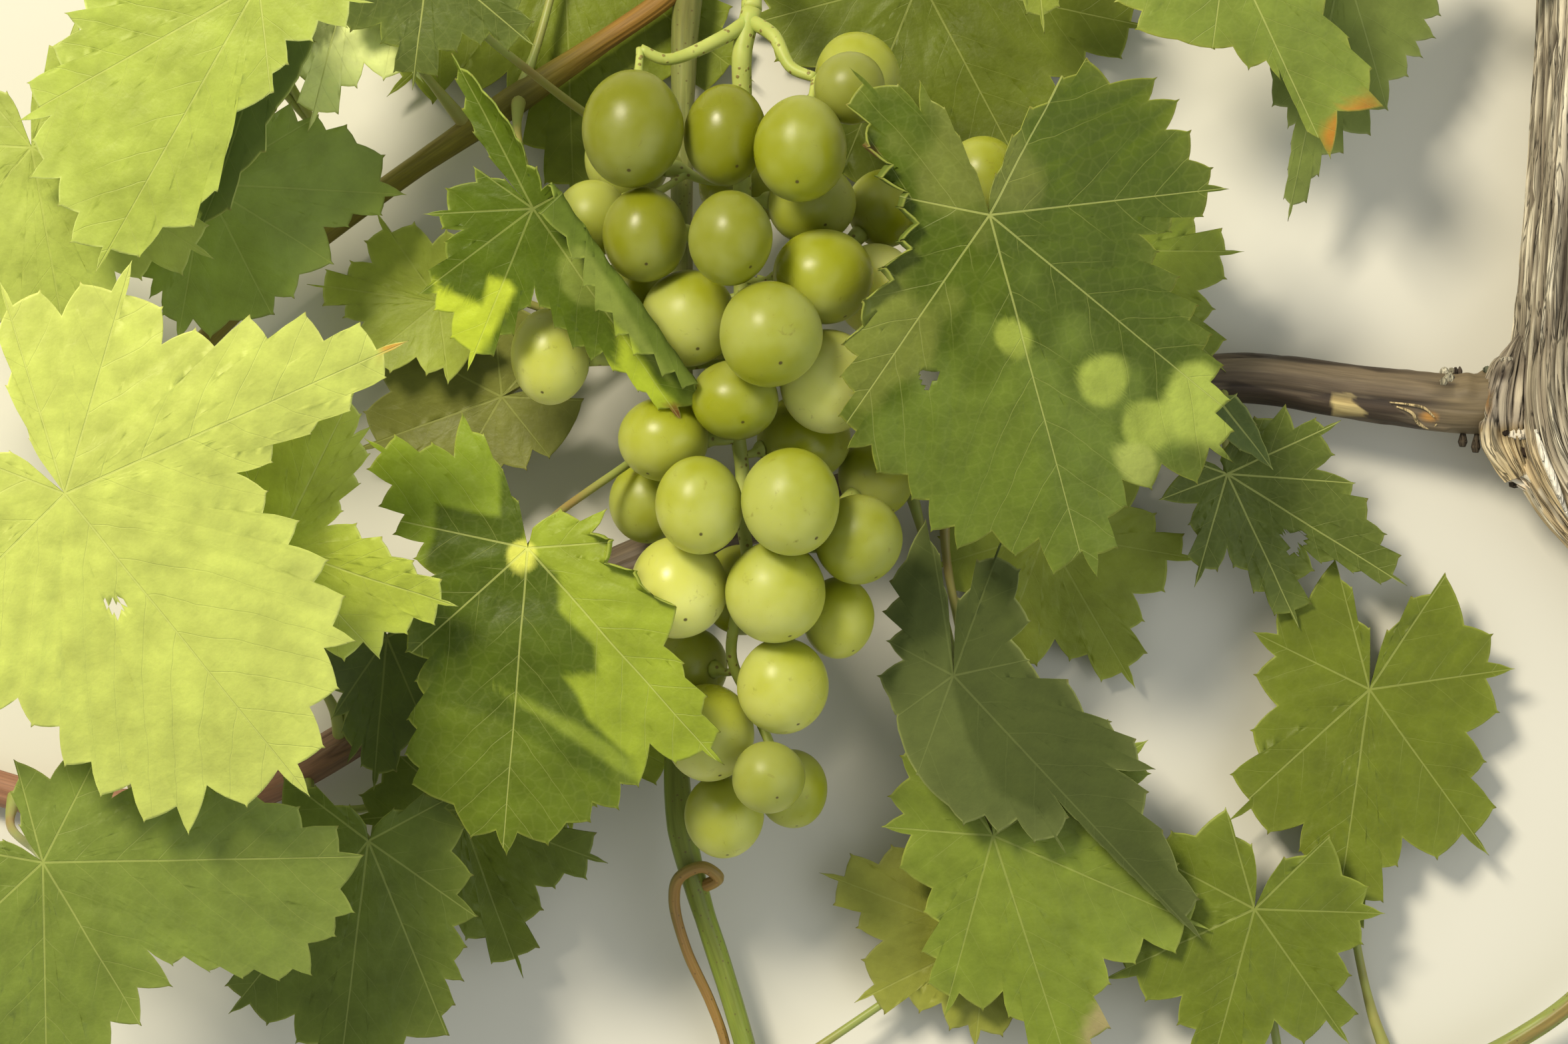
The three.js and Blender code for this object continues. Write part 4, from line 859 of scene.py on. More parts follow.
stalks = [
    tube(seen(PEDUNCLE), [1.9, 1.7, 1.7, 2], 20, 40),
    tube(seen(spine), [2, 1.8, 1.7, 1.5, 1.3, 1.1, 0.9], 16, 90),
    *[tube(seen(top_arm), [1.5, 1.4, 1.2, 1.0], 16, 24) for top_arm in TOP_ARMS],
]
for hold, tip in pedicels.values():
    span = tip - hold
    sag = np.array([0, -0.06, 0.0]) * np.linalg.norm(span)
    path = [hold, hold + span * 0.5 + sag, hold + span * 0.85, tip]
    stalks.append(tube(path, [0.85, 0.75, 0.75, 0.8, 1.0, 1.7, 1.9], 10, 14))
bunch_stalk = mesh_piece("bunch_stalks", *fused(stalks))
finished(bunch_stalk, "bunch", "bunch_stalk", stalk_skin)

# Grape skin: thin and waxy over wet pulp, so light goes a few millimetres in and comes back yellow-green,
# and the shine is broad and soft under the bloom. berry_place is a direction from the berry's middle,
# with the brown dot at -z, and to_stalk is 1 where the stalk meets the berry.
BLOOM_WIDTH = 16
FRECKLE_WIDTH = 2.6
grape_skin, tree = new_material("green_grape_skin")
place = node(tree, "TexCoord").outputs["Object"]
berry_place = node(tree, "Attribute", attribute_name="berry_place").outputs["Vector"]
parts = node(tree, "SeparateXYZ", {"Vector": berry_place})
bloom = node(tree, "TexNoise", {
    "Vector": place, "Scale": 1000 / BLOOM_WIDTH, "Detail": 3.0, "Roughness": 0.6})
bloom_share = node(tree, "MapRange", {
    "Value": bloom, "From Min": 0.36, "From Max": 0.66, "To Min": 0.0, "To Max": 0.8},
    interpolation_type="SMOOTHSTEP")
pulp = node(tree, "Mix", {0: bloom_share, 6: srgb("#949a1e"), 7: srgb("#a4ab58")}, data_type="RGBA")
to_stalk = node(tree, "Attribute", attribute_name="to_stalk").outputs["Fac"]
ends = node(tree, "MapRange", {
    "Value": to_stalk, "From Min": 0.55, "From Max": 1.0, "To Min": 0.0, "To Max": 0.55})
shouldered = node(tree, "Mix", {0: ends, 6: pulp, 7: srgb("#abb062")}, data_type="RGBA")
# Painted light and shade: each berry is lightened or darkened by its own number, and above 1 also paled
# towards a sunlit colour.
painted_light = node(tree, "Attribute", attribute_name="painted_light").outputs["Fac"]
painted_sun_share = node(tree, "MapRange", {
    "Value": painted_light, "From Min": 1.0, "From Max": 1.7, "To Min": 0.0, "To Max": 0.6})
painted_sun = node(tree, "Mix", {0: painted_sun_share, 6: shouldered, 7: srgb("#d6d592")}, data_type="RGBA")
painted_sun_and_shade = node(tree, "VectorMath", {0: painted_sun, 1: painted_light}, operation="MULTIPLY")
freckles = node(tree, "TexNoise", {
    "Vector": place, "Scale": 1000 / FRECKLE_WIDTH, "Detail": 5.0, "Roughness": 0.7, "Distortion": 0.6})
freckle_share = node(tree, "MapRange", {
    "Value": freckles, "From Min": 0.62, "From Max": 0.74, "To Min": 0.0, "To Max": 0.5})
freckled = node(tree, "Mix", {0: freckle_share, 6: painted_sun_and_shade, 7: srgb("#6f661c")}, data_type="RGBA")
flattened = node(tree, "Mapping", {"Vector": berry_place, "Scale": (1, 1, 0)})
from_dot = node(tree, "VectorMath", {0: flattened}, operation="LENGTH")
dot = node(tree, "MapRange", {
    "Value": from_dot, "From Min": 0.028, "From Max": 0.05, "To Min": 0.85, "To Max": 0.0})
at_dot_end = node(tree, "Math", {0: parts.outputs["Z"], 1: 0.0}, operation="LESS_THAN")
dot_share = node(tree, "Math", {0: dot, 1: at_dot_end}, operation="MULTIPLY")
dotted = node(tree, "Mix", {0: dot_share, 6: freckled, 7: srgb("#4a3a1c")}, data_type="RGBA")
sheen_share = node(tree, "MapRange", {
    "Value": bloom, "From Min": 0.3, "From Max": 0.7, "To Min": 0.26, "To Max": 0.46})
surfaced(tree, freckles, 0.12, 0.2, {
    "Base Color": dotted, "Roughness": sheen_share, "IOR": 1.4, "Specular IOR Level": 0.45,
    "Subsurface Weight": 0.9, "Subsurface Radius": (1.0, 0.9, 0.25), "Subsurface Scale": 8 * MM})

# One berry is shaped from a sphere, with a shallow dimple at the dot and a slight shoulder at the stalk,
# and every other is a copy of it, turned so that its stalk end faces its stalk.
bpy.ops.mesh.primitive_uv_sphere_add(segments=44, ring_count=30, radius=1)
model_berry = bpy.context.object
round_places = np.array([corner.co for corner in model_berry.data.vertices])
model_faces = [tuple(face.vertices) for face in model_berry.data.polygons]
bpy.data.objects.remove(model_berry)
DOT_LEAN = (0.25, -0.75, 0.45)
LEAN_SPREAD = 0.16
FIRST_BERRY_SEED = 200
# How much lighter or darker each berry is painted, by how much sun or shade it lay in: painted light and
# shade.
PAINTED_BERRY_LIGHT = [
    0.93, 0.88, 0.66, 1.05, 1.15, 1.04, 1.2, 1.1, 0.85, 0.72, 0.73, 1.1,
    0.69, 0.92, 1.1, 1.35, 0.88, 1.4, 1.12, 1.2, 1.05, 1.2, 0.71, 1.7,
]
# Painted light: each berry's lower side is painted lighter, as if lit through from below.
PAINTED_LOW_SIDE_LIGHT = 0.14
dot_dimple = 0.015 * np.exp(-(((1 + round_places[:, 2]) / 0.004) ** 2))


def berry_shape(i):
    """A berry's corners, faces, directions with its dot at -z, and nearness to its stalk."""
    middle, radii = hung[i]
    towards = pedicels[i][1] - middle
    towards /= np.linalg.norm(towards)
    stray = np.random.default_rng(FIRST_BERRY_SEED + i).normal(0, LEAN_SPREAD, 3)
    up = 0.3 * towards - np.array(DOT_LEAN) + stray
    up /= np.linalg.norm(up)
    side = np.cross((0.3, 0.9, 0.2), up)
    side /= np.linalg.norm(side)
    direction = round_places @ np.stack([side, np.cross(up, side), up])
    to_stalk = direction @ towards
    x, y, _ = round_places.T
    uneven = 1 + 0.012 * np.sin(3 * x + 7 * i) + 0.01 * np.sin(4 * y + 3 * i)
    shape = uneven - dot_dimple - 0.05 * np.exp(-(((1 - to_stalk) / 0.02) ** 2))
    return middle + direction * radii * shape[:, None], model_faces, round_places, to_stalk


def berry_piece(name, shapes, painted_light, replaced):
    grapes = mesh_piece(name, *fused([shape[:2] for shape in shapes]))
    give(grapes.data, "berry_place", "FLOAT_VECTOR", "POINT", np.vstack([shape[2] for shape in shapes]))
    give(grapes.data, "to_stalk", "FLOAT", "POINT", np.concatenate([shape[3] for shape in shapes]))
    give(grapes.data, "painted_light", "FLOAT", "POINT", painted_light)
    finished(grapes, "berry", replaced, grape_skin)


for i in range(len(outer_berries)):
    berry = berry_shape(i)
    # painted light: lighter towards each berry's lower side
    painted_low_light = 1 - PAINTED_LOW_SIDE_LIGHT * (berry[0][:, 1] - hung[i][0][1]) / hung[i][1][1]
    berry_piece(f"grape_{i + 1:02d}_berry", [berry], PAINTED_BERRY_LIGHT[i] * painted_low_light, f"grape_{i + 1:02d}")
inner_berries = [berry_shape(i) for i in range(len(outer_berries), len(hung))]
berry_piece("inner_grapes", inner_berries, np.ones(len(inner_berries) * len(round_places)), "bunch_stalk")


# Leaves: vine leaves of three to five toothed lobes on round stalks. A blade is a third of a millimetre
# thick, with pale veins that fan from the stalk and the green between them raised in soft puckers; its
# underside is paler, downy and ribbed. It is drawn as it looks, in polar form about its stalk's end, as
# the source draws it.
HALF_EDGE = [
    (0, 1, True), (25, 0.6, False), (50, 0.87, True), (77, 0.5, False),
    (103, 0.68, True), (126, 0.5, False), (149, 0.55, True), (170, 0.12, False),
]
NOTCH_ANGLE = 160
TOOTH_SHARE = 0.62
TOOTH_LEAN = 0.3
TOOTH_DEPTH = 0.62
LOBE_SWELL = 0.1
TOOTH_BULGE = 0.05
TOOTH_POINT = 0.6
BLADE = 0.36
RIM = 0.5
CURL_TURN = 2.6
VEIN_SPREAD = 28
SIDE_VEIN_SHARE = 0.125
PUCKER = 0.24
EDGE_GLOW = 0.15
CLOSE_STEP, FAR_STEP = 1.3, 2.0
POINT_LENGTH = 0.35
STALK_TINT = "#8f9a4c"
STALK_SINK = 0.75
EDGE_BLUR = 1.2


def vine_edge(length, left=1, right=1, cut=1):
    """A whole leaf's edge, as bay, lobe tip, bay and so on: angle and reach of each."""
    def half(sign, breadth):
        rows = []
        for angle, reach, is_tip in HALF_EDGE:
            depth = (reach if is_tip or angle > NOTCH_ANGLE else reach * (2 - cut)) * length
            along = math.cos(math.radians(angle)) * depth
            across = math.sin(math.radians(angle)) * depth * breadth
            rows.append((sign * math.degrees(math.atan2(across, along)), math.hypot(along, across)))
        return rows
    return half(-1, right)[:0:-1] + half(1, left)


# A blade's edge runs from one side of its stalk round the tip to the other: angle and reach of bay, lobe
# tip, bay and so on. Slope, fold, bow and ripple bend it, and its stalk goes by way of some places to the
# limb that bears it. Patches are round, or outlined as they look, each with a colour and a strength.
PLAIN_LEAF = dict(
    pitch=10, fold=(0.12, 0.12), bow=-0.12, ripple=1.8, phase=0, wrinkle=1.0, petiole=1.1, clearness=1.0,
    bends=[], curled=[], holes=[], patches=[], close=False, underside_up=False)
# Each leaf's green and rim are its own green made lighter for a leaf that lay in sun and darker for one in
# shade: painted light and shade. Some patches are painted sun, shadow or sheen, as marked at each leaf.
LEAVES = {
    "leaf_large_right": dict(
        at=(39.3, 58.8, 68), heading=-78.5,
        edge=[(-175, 3), (-164, 28.5), (-158, 24), (-148, 38.5), (-95, 17.5), (-44, 52), (-29, 52),
            (-17, 64), (-11, 60.5), (5, 72), (15, 56.5), (33, 66), (71, 29), (84, 45.5), (94, 39.5),
            (118, 41), (126, 34), (136, 35), (170, 3)], size=68, slope=(-0.2, 0), fold=(-0.34, -0.1),
        bow=-0.1, ripple=2.2, bearer="arm", near=(52, 21.5),
        via=[(41, 56, 54), (45, 46, 34), (50, 33, 18)],
        veins=[(-113, 30), (-46, 52), (3.5, 72), (39, 64), (85, 45), (141, 36)],
        curled=[{"from": -142, "to": -58, "width": 4.5, "radius": 1.6}], green="#53650f", rim="#a9b04c",
        close=True, holes=[(27.5, 27.5, 1.6)],
        # Painted light: the small bright patches are pools of sun, and the one at 67.4, 12 a painted sheen;
        # the brown spot with its pale middle is the leaf's own.
        patches=[("#7c8f35", 45, 4, 30, 0.6), ("#8a9240", 18, 37, 12, 0.6), ("#8a9045", 37, 70, 12, 0.5),
            ("#b0bf4e", 43.5, 35.8, 3.4, 0.8), ("#bccb58", 79.5, 21.3, 8, 0.9),
            ("#b4c352", 61.3, 27.8, 4.8, 0.8), ("#b4c352", 69.7, 18.5, 4.8, 0.8),
            ("#bcc762", 67.4, 12, 4, 0.8), ("#7d5a2c", 15.8, 69.2, 2.6, 1),
            ("#b9a88a", 15.8, 69.2, 1.2, 1)]),
    "leaf_left_of_bunch": dict(
        at=(-49, -5, 55), heading=-94,
        edge=[(-165, 4), (-150, 28.5), (-137, 22.5), (-120, 37), (-70, 18.5), (-58, 30), (-38, 28.5),
            (-22, 50), (-12, 51), (0, 58.5), (12, 53), (29, 50), (36, 44), (46, 55.5), (58, 32),
            (72, 30.5), (83, 17.5), (120, 16.5), (170, 4)], size=58, slope=(-0.03, 0.02),
        fold=(0.1, -0.05), bow=-0.1, ripple=2.4, phase=1.2, bearer="shoot_up", near=(-19.5, 19),
        via=[(-44, 1, 46), (-38, 5.5, 40), (-30, 11, 34), (-25, 15, 19)],
        veins=[(-98, 37), (-44, 40), (-0.7, 58), (45.6, 55), (98, 20)],
        curled=[{"from": 70, "to": 112, "width": 3.5, "radius": 1.4}], green="#51630f", rim="#aeb84e",
        close=True, wrinkle=1.7,
        # Its green is the leaf in cast shadow; the four outlined patches are painted sun on it, the lowest
        # a painted half-light.
        patches=[("#66781a", [(-70.2, -33.4), (-55.3, -37.1), (-31, -52), (-34.7, -58.6), (-51.5, -66),
            (-65.5, -60), (-74, -46.4)], 0.8), ("#8fa42a", [(-90, 4.9), (-81.4, 14), (-76.7, 20),
            (-54.3, 20), (-54.3, 1.2), (-56.2, 1.2), (-66.5, 3.5), (-66.9, -2.6), (-69.3, -9.1),
            (-90, -9.1)], 0.85), ("#a3b436", [(-50.1, -3.5), (-45.9, -8.2), (-43.1, -10), (-43.1, -17),
            (-36.1, -23.6), (-35.7, -28.7), (-42.2, -29.6), (-39.4, -33.4), (-37.5, -37.6),
            (-29.1, -45.5), (-27.3, -50.2), (-12.3, -52), (-12.3, -4.4), (-31, 9), (-46.9, 8),
            (-48.7, 0.2)], 0.85), ("#9aab3a", [(-55.7, -31.3), (-47.8, -34.8), (-38.5, -39),
            (-29.1, -45.5), (-27.3, -50.2), (-34.7, -45.5), (-45, -38.4), (-49.7, -35.6)], 0.6),
            ("#e6e866", -50.1, -5.8, 2.8, 0.9)]),
    "leaf_beside_bunch": dict(
        at=(-48, 60, 56), heading=-55,
        edge=[(-171, 3), (-160, 13.5), (-150, 12), (-122, 20.5), (-108, 14), (-88, 27), (-72, 25),
            (-57, 33), (-34, 15), (-14, 31), (-9, 30.5), (0, 49.5), (8, 46), (15, 46), (58, 15), (84, 14),
            (120, 4), (172, 33), (178, 4)], pitch=8, size=48, slope=(-0.05, 0.1), fold=(0.25, -0.1),
        bow=-0.1, bends=[{"toward": 91, "from": 3.6, "radius": 2.3, "turn": 168}], bearer="side_cane",
        near=(-51, 81), via=[(-49, 66, 44), (-51, 74, 28)], green="#566a0a", rim="#a9b850", close=True,
        # Painted light: the two bright yellow-green outlined patches are pools of sun.
        patches=[("#808f37", [(-39.5, 52.9), (-42.9, 50.7), (-43.2, 47.8), (-42.4, 44.4), (-39, 41.6),
            (-35.6, 41.6), (-32.7, 38.8), (-29.9, 35.4), (-27.1, 33.1), (-24.2, 29.1), (-20.8, 26.3),
            (-25.9, 33.7), (-32.7, 45), (-35.6, 49), (-37.8, 52.4)], 1), ("#c3d23a", [(-70, 47),
            (-66.2, 46.1), (-67.9, 40.5), (-66, 34), (-60.2, 28), (-55, 37.1), (-51.4, 44.4),
            (-52.6, 46.1), (-56.5, 47), (-57.7, 41.6), (-63.3, 43.9)], 0.95), ("#b6c735", [(-32.7, 38.2),
            (-29.3, 34.8), (-23.7, 25.7), (-19, 21.2), (-20, 17), (-27.6, 20), (-31.6, 19.5), (-38, 26.3),
            (-34.4, 31.4), (-32.2, 29.7), (-31.6, 33.7)], 0.9), ("#7a5426", -20.4, 19.4, 3, 1)],
        clearness=0.5),
    "leaf_near_left": dict(
        at=(-137.6, 5.4, 92), heading=-51,
        edge=[(-170, 4), (-150, 34), (-118, 26), (-84, 60), (-52, 40), (-19, 69), (-13, 62), (0, 74),
            (10, 62), (24, 62), (58, 33), (75, 71.5), (108, 34), (125, 46), (142, 34), (158, 42),
            (170, 4)], pitch=14, size=72, slope=(-0.1, 0), fold=(-0.06, 0.02), bow=-0.1, ripple=2.5,
        phase=0.6, bearer="arm", near=(-122, -55), via=[(-137, -3, 80), (-132, -26, 46), (-126, -45, 20)],
        green="#c6d068", rim="#e2e884", holes=[(-128, -16.4, 1.6)],
        patches=[("#d79a3c", -72.8, 34.7, 6, 0.8)]),
    "leaf_behind_near_left": dict(
        at=(-97, -5, 66), heading=-18,
        edge=[(-170, 3), (-140, 20), (-110, 16), (-75, 26), (-48, 20), (-29, 28.5), (-20, 26), (0, 36),
            (14, 22), (23, 20), (42, 10.5), (70, 29), (74, 26), (82, 34), (105, 22), (130, 30), (168, 3)],
        pitch=9, size=36, slope=(0.05, 0.1), fold=(0.05, 0.05), ripple=2.4, bearer="arm", near=(-84, -42),
        via=[(-97, -9, 56), (-93, -24, 34), (-86, -36, 17)], green="#b4c148", rim="#d6df7a"),
    "leaf_dark_centre_left": dict(
        at=(-76, -22, 31), heading=-95,
        edge=[(-165, 3), (-120, 16), (-70, 12), (-29, 18.5), (-22, 16), (-13, 25), (-8, 21), (0, 29),
            (12, 22), (28, 18), (60, 13), (120, 16), (165, 3)], pitch=9, size=30, slope=(-0.05, 0),
        ripple=1.2, shares_node="leaf_behind_near_left", bearer="arm", near=(-84, -42),
        via=[(-77, -25, 25), (-83, -35, 17)], green="#5b6a2c", rim="#98a350", clearness=0.35),
    "leaf_top_left": dict(
        at=(-100.5, 103, 74), heading=-119.5,
        edge=[(-175, 3), (-120, 24), (-95, 20), (-52, 37), (-46, 35), (-31, 52.5), (-28, 47), (-20, 57),
            (-16, 53), (0, 63), (8, 50), (14, 48), (16, 25), (36, 21), (55, 12), (110, 22), (170, 3)],
        pitch=11, size=60, slope=(-0.1, -0.05), fold=(0.1, -0.1), bow=-0.08, ripple=2, phase=2,
        bearer="side_cane", near=(-80, 61), via=[(-100.5, 98, 60), (-98, 86, 42), (-87, 72, 22)],
        green="#aebd52", rim="#dde78e"),
    "leaf_folded_top_left": dict(
        at=(-97, 96, 56), heading=-110,
        edge=[(-150, 3), (-60, 12), (-24, 16), (-14, 28), (-10, 30), (0, 46), (5, 30), (20, 17), (50, 10),
            (80, 8), (150, 3)], pitch=13, size=46, slope=(-0.1, 0.5), fold=(0.7, 0.3), bow=-0.05,
        ripple=0.8, shares_node="leaf_top_left", bearer="side_cane", near=(-80, 61),
        via=[(-97, 92, 48), (-95, 85, 40), (-87, 72, 22)], green="#647a38", rim="#b9c46a",
        underside_up=True, clearness=0.6),
    "leaf_shaded_upper_left": dict(
        at=(-110.7, 64.7, 42), heading=-40,
        edge=[(-175, 3), (-140, 20), (-110, 16), (-76, 24), (-72, 22), (-60, 30), (-40, 26.5), (-23, 28),
            (-4, 25), (8, 28.5), (20, 24), (37, 38), (55, 30), (71, 25), (110, 15), (140, 18), (172, 3)],
        pitch=9, size=38, slope=(-0.1, 0), fold=(-0.12, -0.05), ripple=1.4, phase=2.2, bearer="side_cane",
        near=(-98, 47), via=[(-109, 61, 33), (-103, 53, 20)], green="#90a346", rim="#8c9850",
        clearness=0.4),
    "leaf_far_left": dict(
        at=(-144, 71.7, 60), heading=-80, edge=vine_edge(48, left=0.95), size=48, slope=(-0.1, 0),
        fold=(-0.1, -0.15), ripple=1.8, phase=3, bearer="side_cane", near=(-118, 27),
        via=[(-142, 67, 50), (-134, 48, 28)], green="#b3c05c", rim="#cdd77c", clearness=0.5),
    "leaf_top_bright": dict(
        at=(-82.5, 107, 44), heading=-105, edge=vine_edge(33, left=0.85, right=0.75), pitch=8, size=33,
        slope=(0.02, 0), ripple=1.6, bearer="side_cane", near=(-60, 75),
        via=[(-81, 101, 34), (-69, 86, 18)], green="#e8f0a0", rim="#dbe480",
        patches=[("#5f6e2c", -90, 95, 5, 0.8)]),
    "leaf_top_dark": dict(
        at=(-68, 108, 52), heading=-97, edge=vine_edge(25, left=1.3, right=1.2), pitch=8, size=28,
        slope=(-0.05, 0), ripple=1.4, phase=1, bearer="shoot_up", near=(-19.5, 68),
        via=[(-60, 96, 45), (-49, 86.5, 34), (-34, 75.5, 21)], green="#5d6b2b", rim="#97a34c"),
    "leaf_behind_top": dict(
        at=(-42, 112, 4.4), heading=-88, edge=vine_edge(52, cut=1.1), pitch=12, size=52, slope=(0, 0),
        fold=(-0.02, -0.02), bow=0, ripple=0.8, bearer="side_cane", near=(-51, 81),
        via=[(-43.5, 105, 8), (-47, 92, 10.5)], green="#76841e", rim="#b4bf4e", clearness=0.4),
    "leaf_behind_top_right": dict(
        at=(26, 104, 4.4), heading=-62, edge=vine_edge(52), pitch=11, size=52, slope=(0, 0),
        fold=(-0.02, -0.02), bow=0, ripple=0.9, bearer="top_shoot", near=(36, 116.5),
        via=[(28, 108, 6), (35, 114, 11)], green="#67741c", rim="#a8b24c", clearness=0.55),
    "leaf_behind_large": dict(
        at=(62, 52, 20), heading=-46, edge=vine_edge(32, left=0.85), pitch=9, size=33, slope=(-0.03, 0),
        fold=(0.03, 0.03), ripple=1.4, bearer="arm", near=(76, 27.5), via=[(67, 48, 16), (73, 36, 12)],
        green="#7a8a2c", rim="#aab44e", clearness=0.4),
    "leaf_eroded": dict(
        at=(84.8, 9.2, 15), heading=-50,
        edge=[(-168, 3), (-149, 10), (-130, 9), (-109, 13.5), (-85, 8), (-56, 22), (-40, 14), (-15, 32),
            (6, 21), (18, 40), (32, 28), (46, 24), (53, 17), (75, 23.5), (84, 15.5), (99, 17), (168, 3)],
        pitch=8, size=40, slope=(-0.06, 0.04), ripple=1.8, bearer="arm", near=(84, 27.5),
        via=[(84.6, 13, 14.5), (84.5, 20.5, 17)], green="#5f6d26", rim="#98a248",
        holes=[(97.5, -3.6, 2.2)]),
    "leaf_small_folded": dict(
        at=(84, 22.4, 26), heading=-52,
        edge=[(-160, 1.5), (-90, 3.4), (-50, 4.5), (-18, 9), (-8, 11), (0, 15), (10, 10), (22, 7),
            (60, 3.6), (90, 3), (160, 1.5)], pitch=9, size=15, slope=(-0.35, 0.3), ripple=0.3,
        petiole=0.9, shares_node="leaf_eroded", bearer="arm", near=(84, 27.5), via=[(84.5, 20.5, 17)],
        green="#64753a", rim="#a4ad60"),
    "leaf_top_right": dict(
        at=(84.8, 111, 46), heading=-67,
        edge=[(-175, 3), (-120, 22), (-100, 18), (-85, 24), (-74, 21), (-69, 24), (-50, 21), (-31, 20.5),
            (-20, 20), (-2, 28), (-1, 26), (2, 45.5), (10, 38.5), (20, 43), (28, 23), (80, 14), (110, 12),
            (135, 15), (170, 3)], pitch=10, size=45, slope=(-0.12, 0), fold=(-0.1, -0.12), bow=-0.12,
        ripple=1.6, bearer="top_shoot", near=(88, 118), via=[], green="#84953a", rim="#c3c95c",
        patches=[("#c9882e", 109.5, 75.2, 5, 0.9)]),
    "leaf_top_right_underside": dict(
        at=(107, 108, 24), heading=-102,
        edge=[(-172, 3), (-110, 14), (-80, 11), (-50, 20), (-34, 18), (-24, 24), (-18, 27), (-6, 34),
            (-4, 33), (0, 51), (5, 38), (28, 30), (32, 25), (50, 24), (80, 19), (120, 20), (170, 3)],
        pitch=7.5, size=50, slope=(-0.05, -0.1), fold=(-0.2, -0.05), ripple=1.2, phase=2,
        bearer="top_shoot", near=(109, 116), via=[], green="#78863c", rim="#a8b070", underside_up=True,
        clearness=0.6),
    "leaf_top_middle": dict(
        at=(48, 111, 32), heading=-84, edge=vine_edge(17, left=0.8, right=0.8), pitch=7, size=17,
        slope=(-0.1, 0), ripple=0.8, petiole=0.9, shares_node="leaf_behind_top_right", bearer="top_shoot",
        near=(36, 116.5), via=[(44, 113, 24), (35, 114, 11)], green="#93a03c", rim="#bcc566"),
    "leaf_underside_right": dict(
        at=(32.4, -29.4, 30), heading=-88,
        edge=[(-178, 9), (-173, 30), (-160, 24), (-120, 14), (-73, 13), (-56, 13.5), (-40, 16), (-22, 20),
            (-4, 25), (14, 31), (22, 30), (30, 40), (38, 30), (41, 69), (47, 57), (51, 50), (58, 36),
            (63, 42), (72, 26), (100, 14.5), (140, 19), (158, 28.5), (176, 9)], pitch=10, size=66,
        slope=(-0.05, -0.06), fold=(-0.05, -0.15), bow=-0.12, ripple=1.2, bearer="arm", near=(24, 10),
        via=[(32, -24, 22), (28, -8, 13)], green="#3f4a17", rim="#aab268", underside_up=True,
        patches=[("#68733a", [(25.7, -11.1), (33, -11.1), (31.5, -28.5), (35.1, -41.5), (40.9, -51.6),
            (52.5, -57.4), (53.2, -63.5), (33.7, -60), (19, -43.6), (19, -36.4), (22.8, -25.6)], 0.5)],
        clearness=0.25),
    "leaf_olive_right": dict(
        at=(39, -79.4, 9), heading=159, edge=vine_edge(34, left=0.9, right=1.2), pitch=9, size=34,
        slope=(0, 0), fold=(-0.06, -0.06), bow=0, ripple=1, bearer="shoot_down", near=(-5.5, -108),
        via=[(28, -86, 7), (7.4, -99.9, 7)], green="#969a3c", rim="#a3a55a", clearness=0.35),
    "leaf_bottom_right": dict(
        at=(40, -60, 20), heading=-72, edge=vine_edge(53, left=0.95, right=0.55), size=53,
        slope=(-0.08, 0), fold=(-0.05, -0.2), bow=-0.05, ripple=1.5, bearer="arm", near=(30, 13),
        via=[(38, -52, 15), (35, -28, 11), (31, -6, 9)], green="#7f9030", rim="#b4be56",
        patches=[("#b8a878", 65.4, -94.4, 7, 0.85)], clearness=0.5),
    "leaf_bottom_far_right": dict(
        at=(90, -74, 14), heading=-105, edge=vine_edge(36), pitch=11, size=36, slope=(-0.08, 0),
        fold=(-0.06, -0.06), bow=0, ripple=1, bearer="base_shoot", near=(96, -111.5),
        via=[(91, -80, 10), (94, -98, 5)], green="#6d7b20", rim="#a9b450", clearness=0.5),
    "leaf_far_right": dict(
        at=(112, -32, 8.5), heading=-98, edge=vine_edge(50, left=0.8, right=0.7), pitch=11, size=50,
        slope=(0, 0), fold=(-0.04, -0.04), bow=0, ripple=1.2, bearer="base_shoot", near=(118, -108),
        via=[(111, -38, 3.6), (108, -66, 3), (112, -92, 3)], green="#6d7a1c", rim="#aab44e",
        clearness=0.55),
    "leaf_behind_right": dict(
        at=(50, -2, 6), heading=-60, edge=vine_edge(34), size=34, slope=(-0.06, 0), fold=(-0.02, -0.02),
        bow=0, ripple=0.8, bearer="arm", near=(50, 20.5), via=[(50, 6, 7.5)], green="#8f9b34",
        rim="#b4be58", clearness=0.35),
    "leaf_lower_left": dict(
        at=(-141.8, -65.1, 74), heading=-45,
        edge=[(-170, 3), (-145, 30), (-120, 26), (-92, 44), (-66, 34), (-44, 58), (-22, 33), (-14, 36),
            (-8, 30), (1, 34), (5, 26), (22, 55.5), (28, 53), (36, 60), (40, 57), (46, 61), (60, 44),
            (66, 40), (88, 18), (108, 26), (130, 16), (150, 20), (170, 3)], pitch=11, size=62,
        slope=(-0.08, 0), fold=(-0.12, -0.05), ripple=2, phase=2, bearer="arm", near=(-146, -52),
        via=[(-143, -63, 58), (-148, -58, 26)], green="#7b8c38", rim="#a9b45a", clearness=0.7),
    "leaf_bottom_left": dict(
        at=(-79.5, -61, 40), heading=-97,
        edge=[(-165, 3), (-120, 20), (-100, 17), (-32, 42), (-16, 36), (0, 49), (18, 38), (29, 40),
            (36, 30), (41, 32), (52, 23), (62, 25), (90, 16), (125, 20), (165, 3)], pitch=9, size=48,
        slope=(-0.12, 0), fold=(-0.05, -0.05), ripple=1.8, phase=1, bearer="arm", near=(-92, -47),
        via=[(-82, -58, 30), (-90, -54, 13)], green="#647428", rim="#98a348", clearness=0.5),
    "leaf_behind_bottom_left": dict(
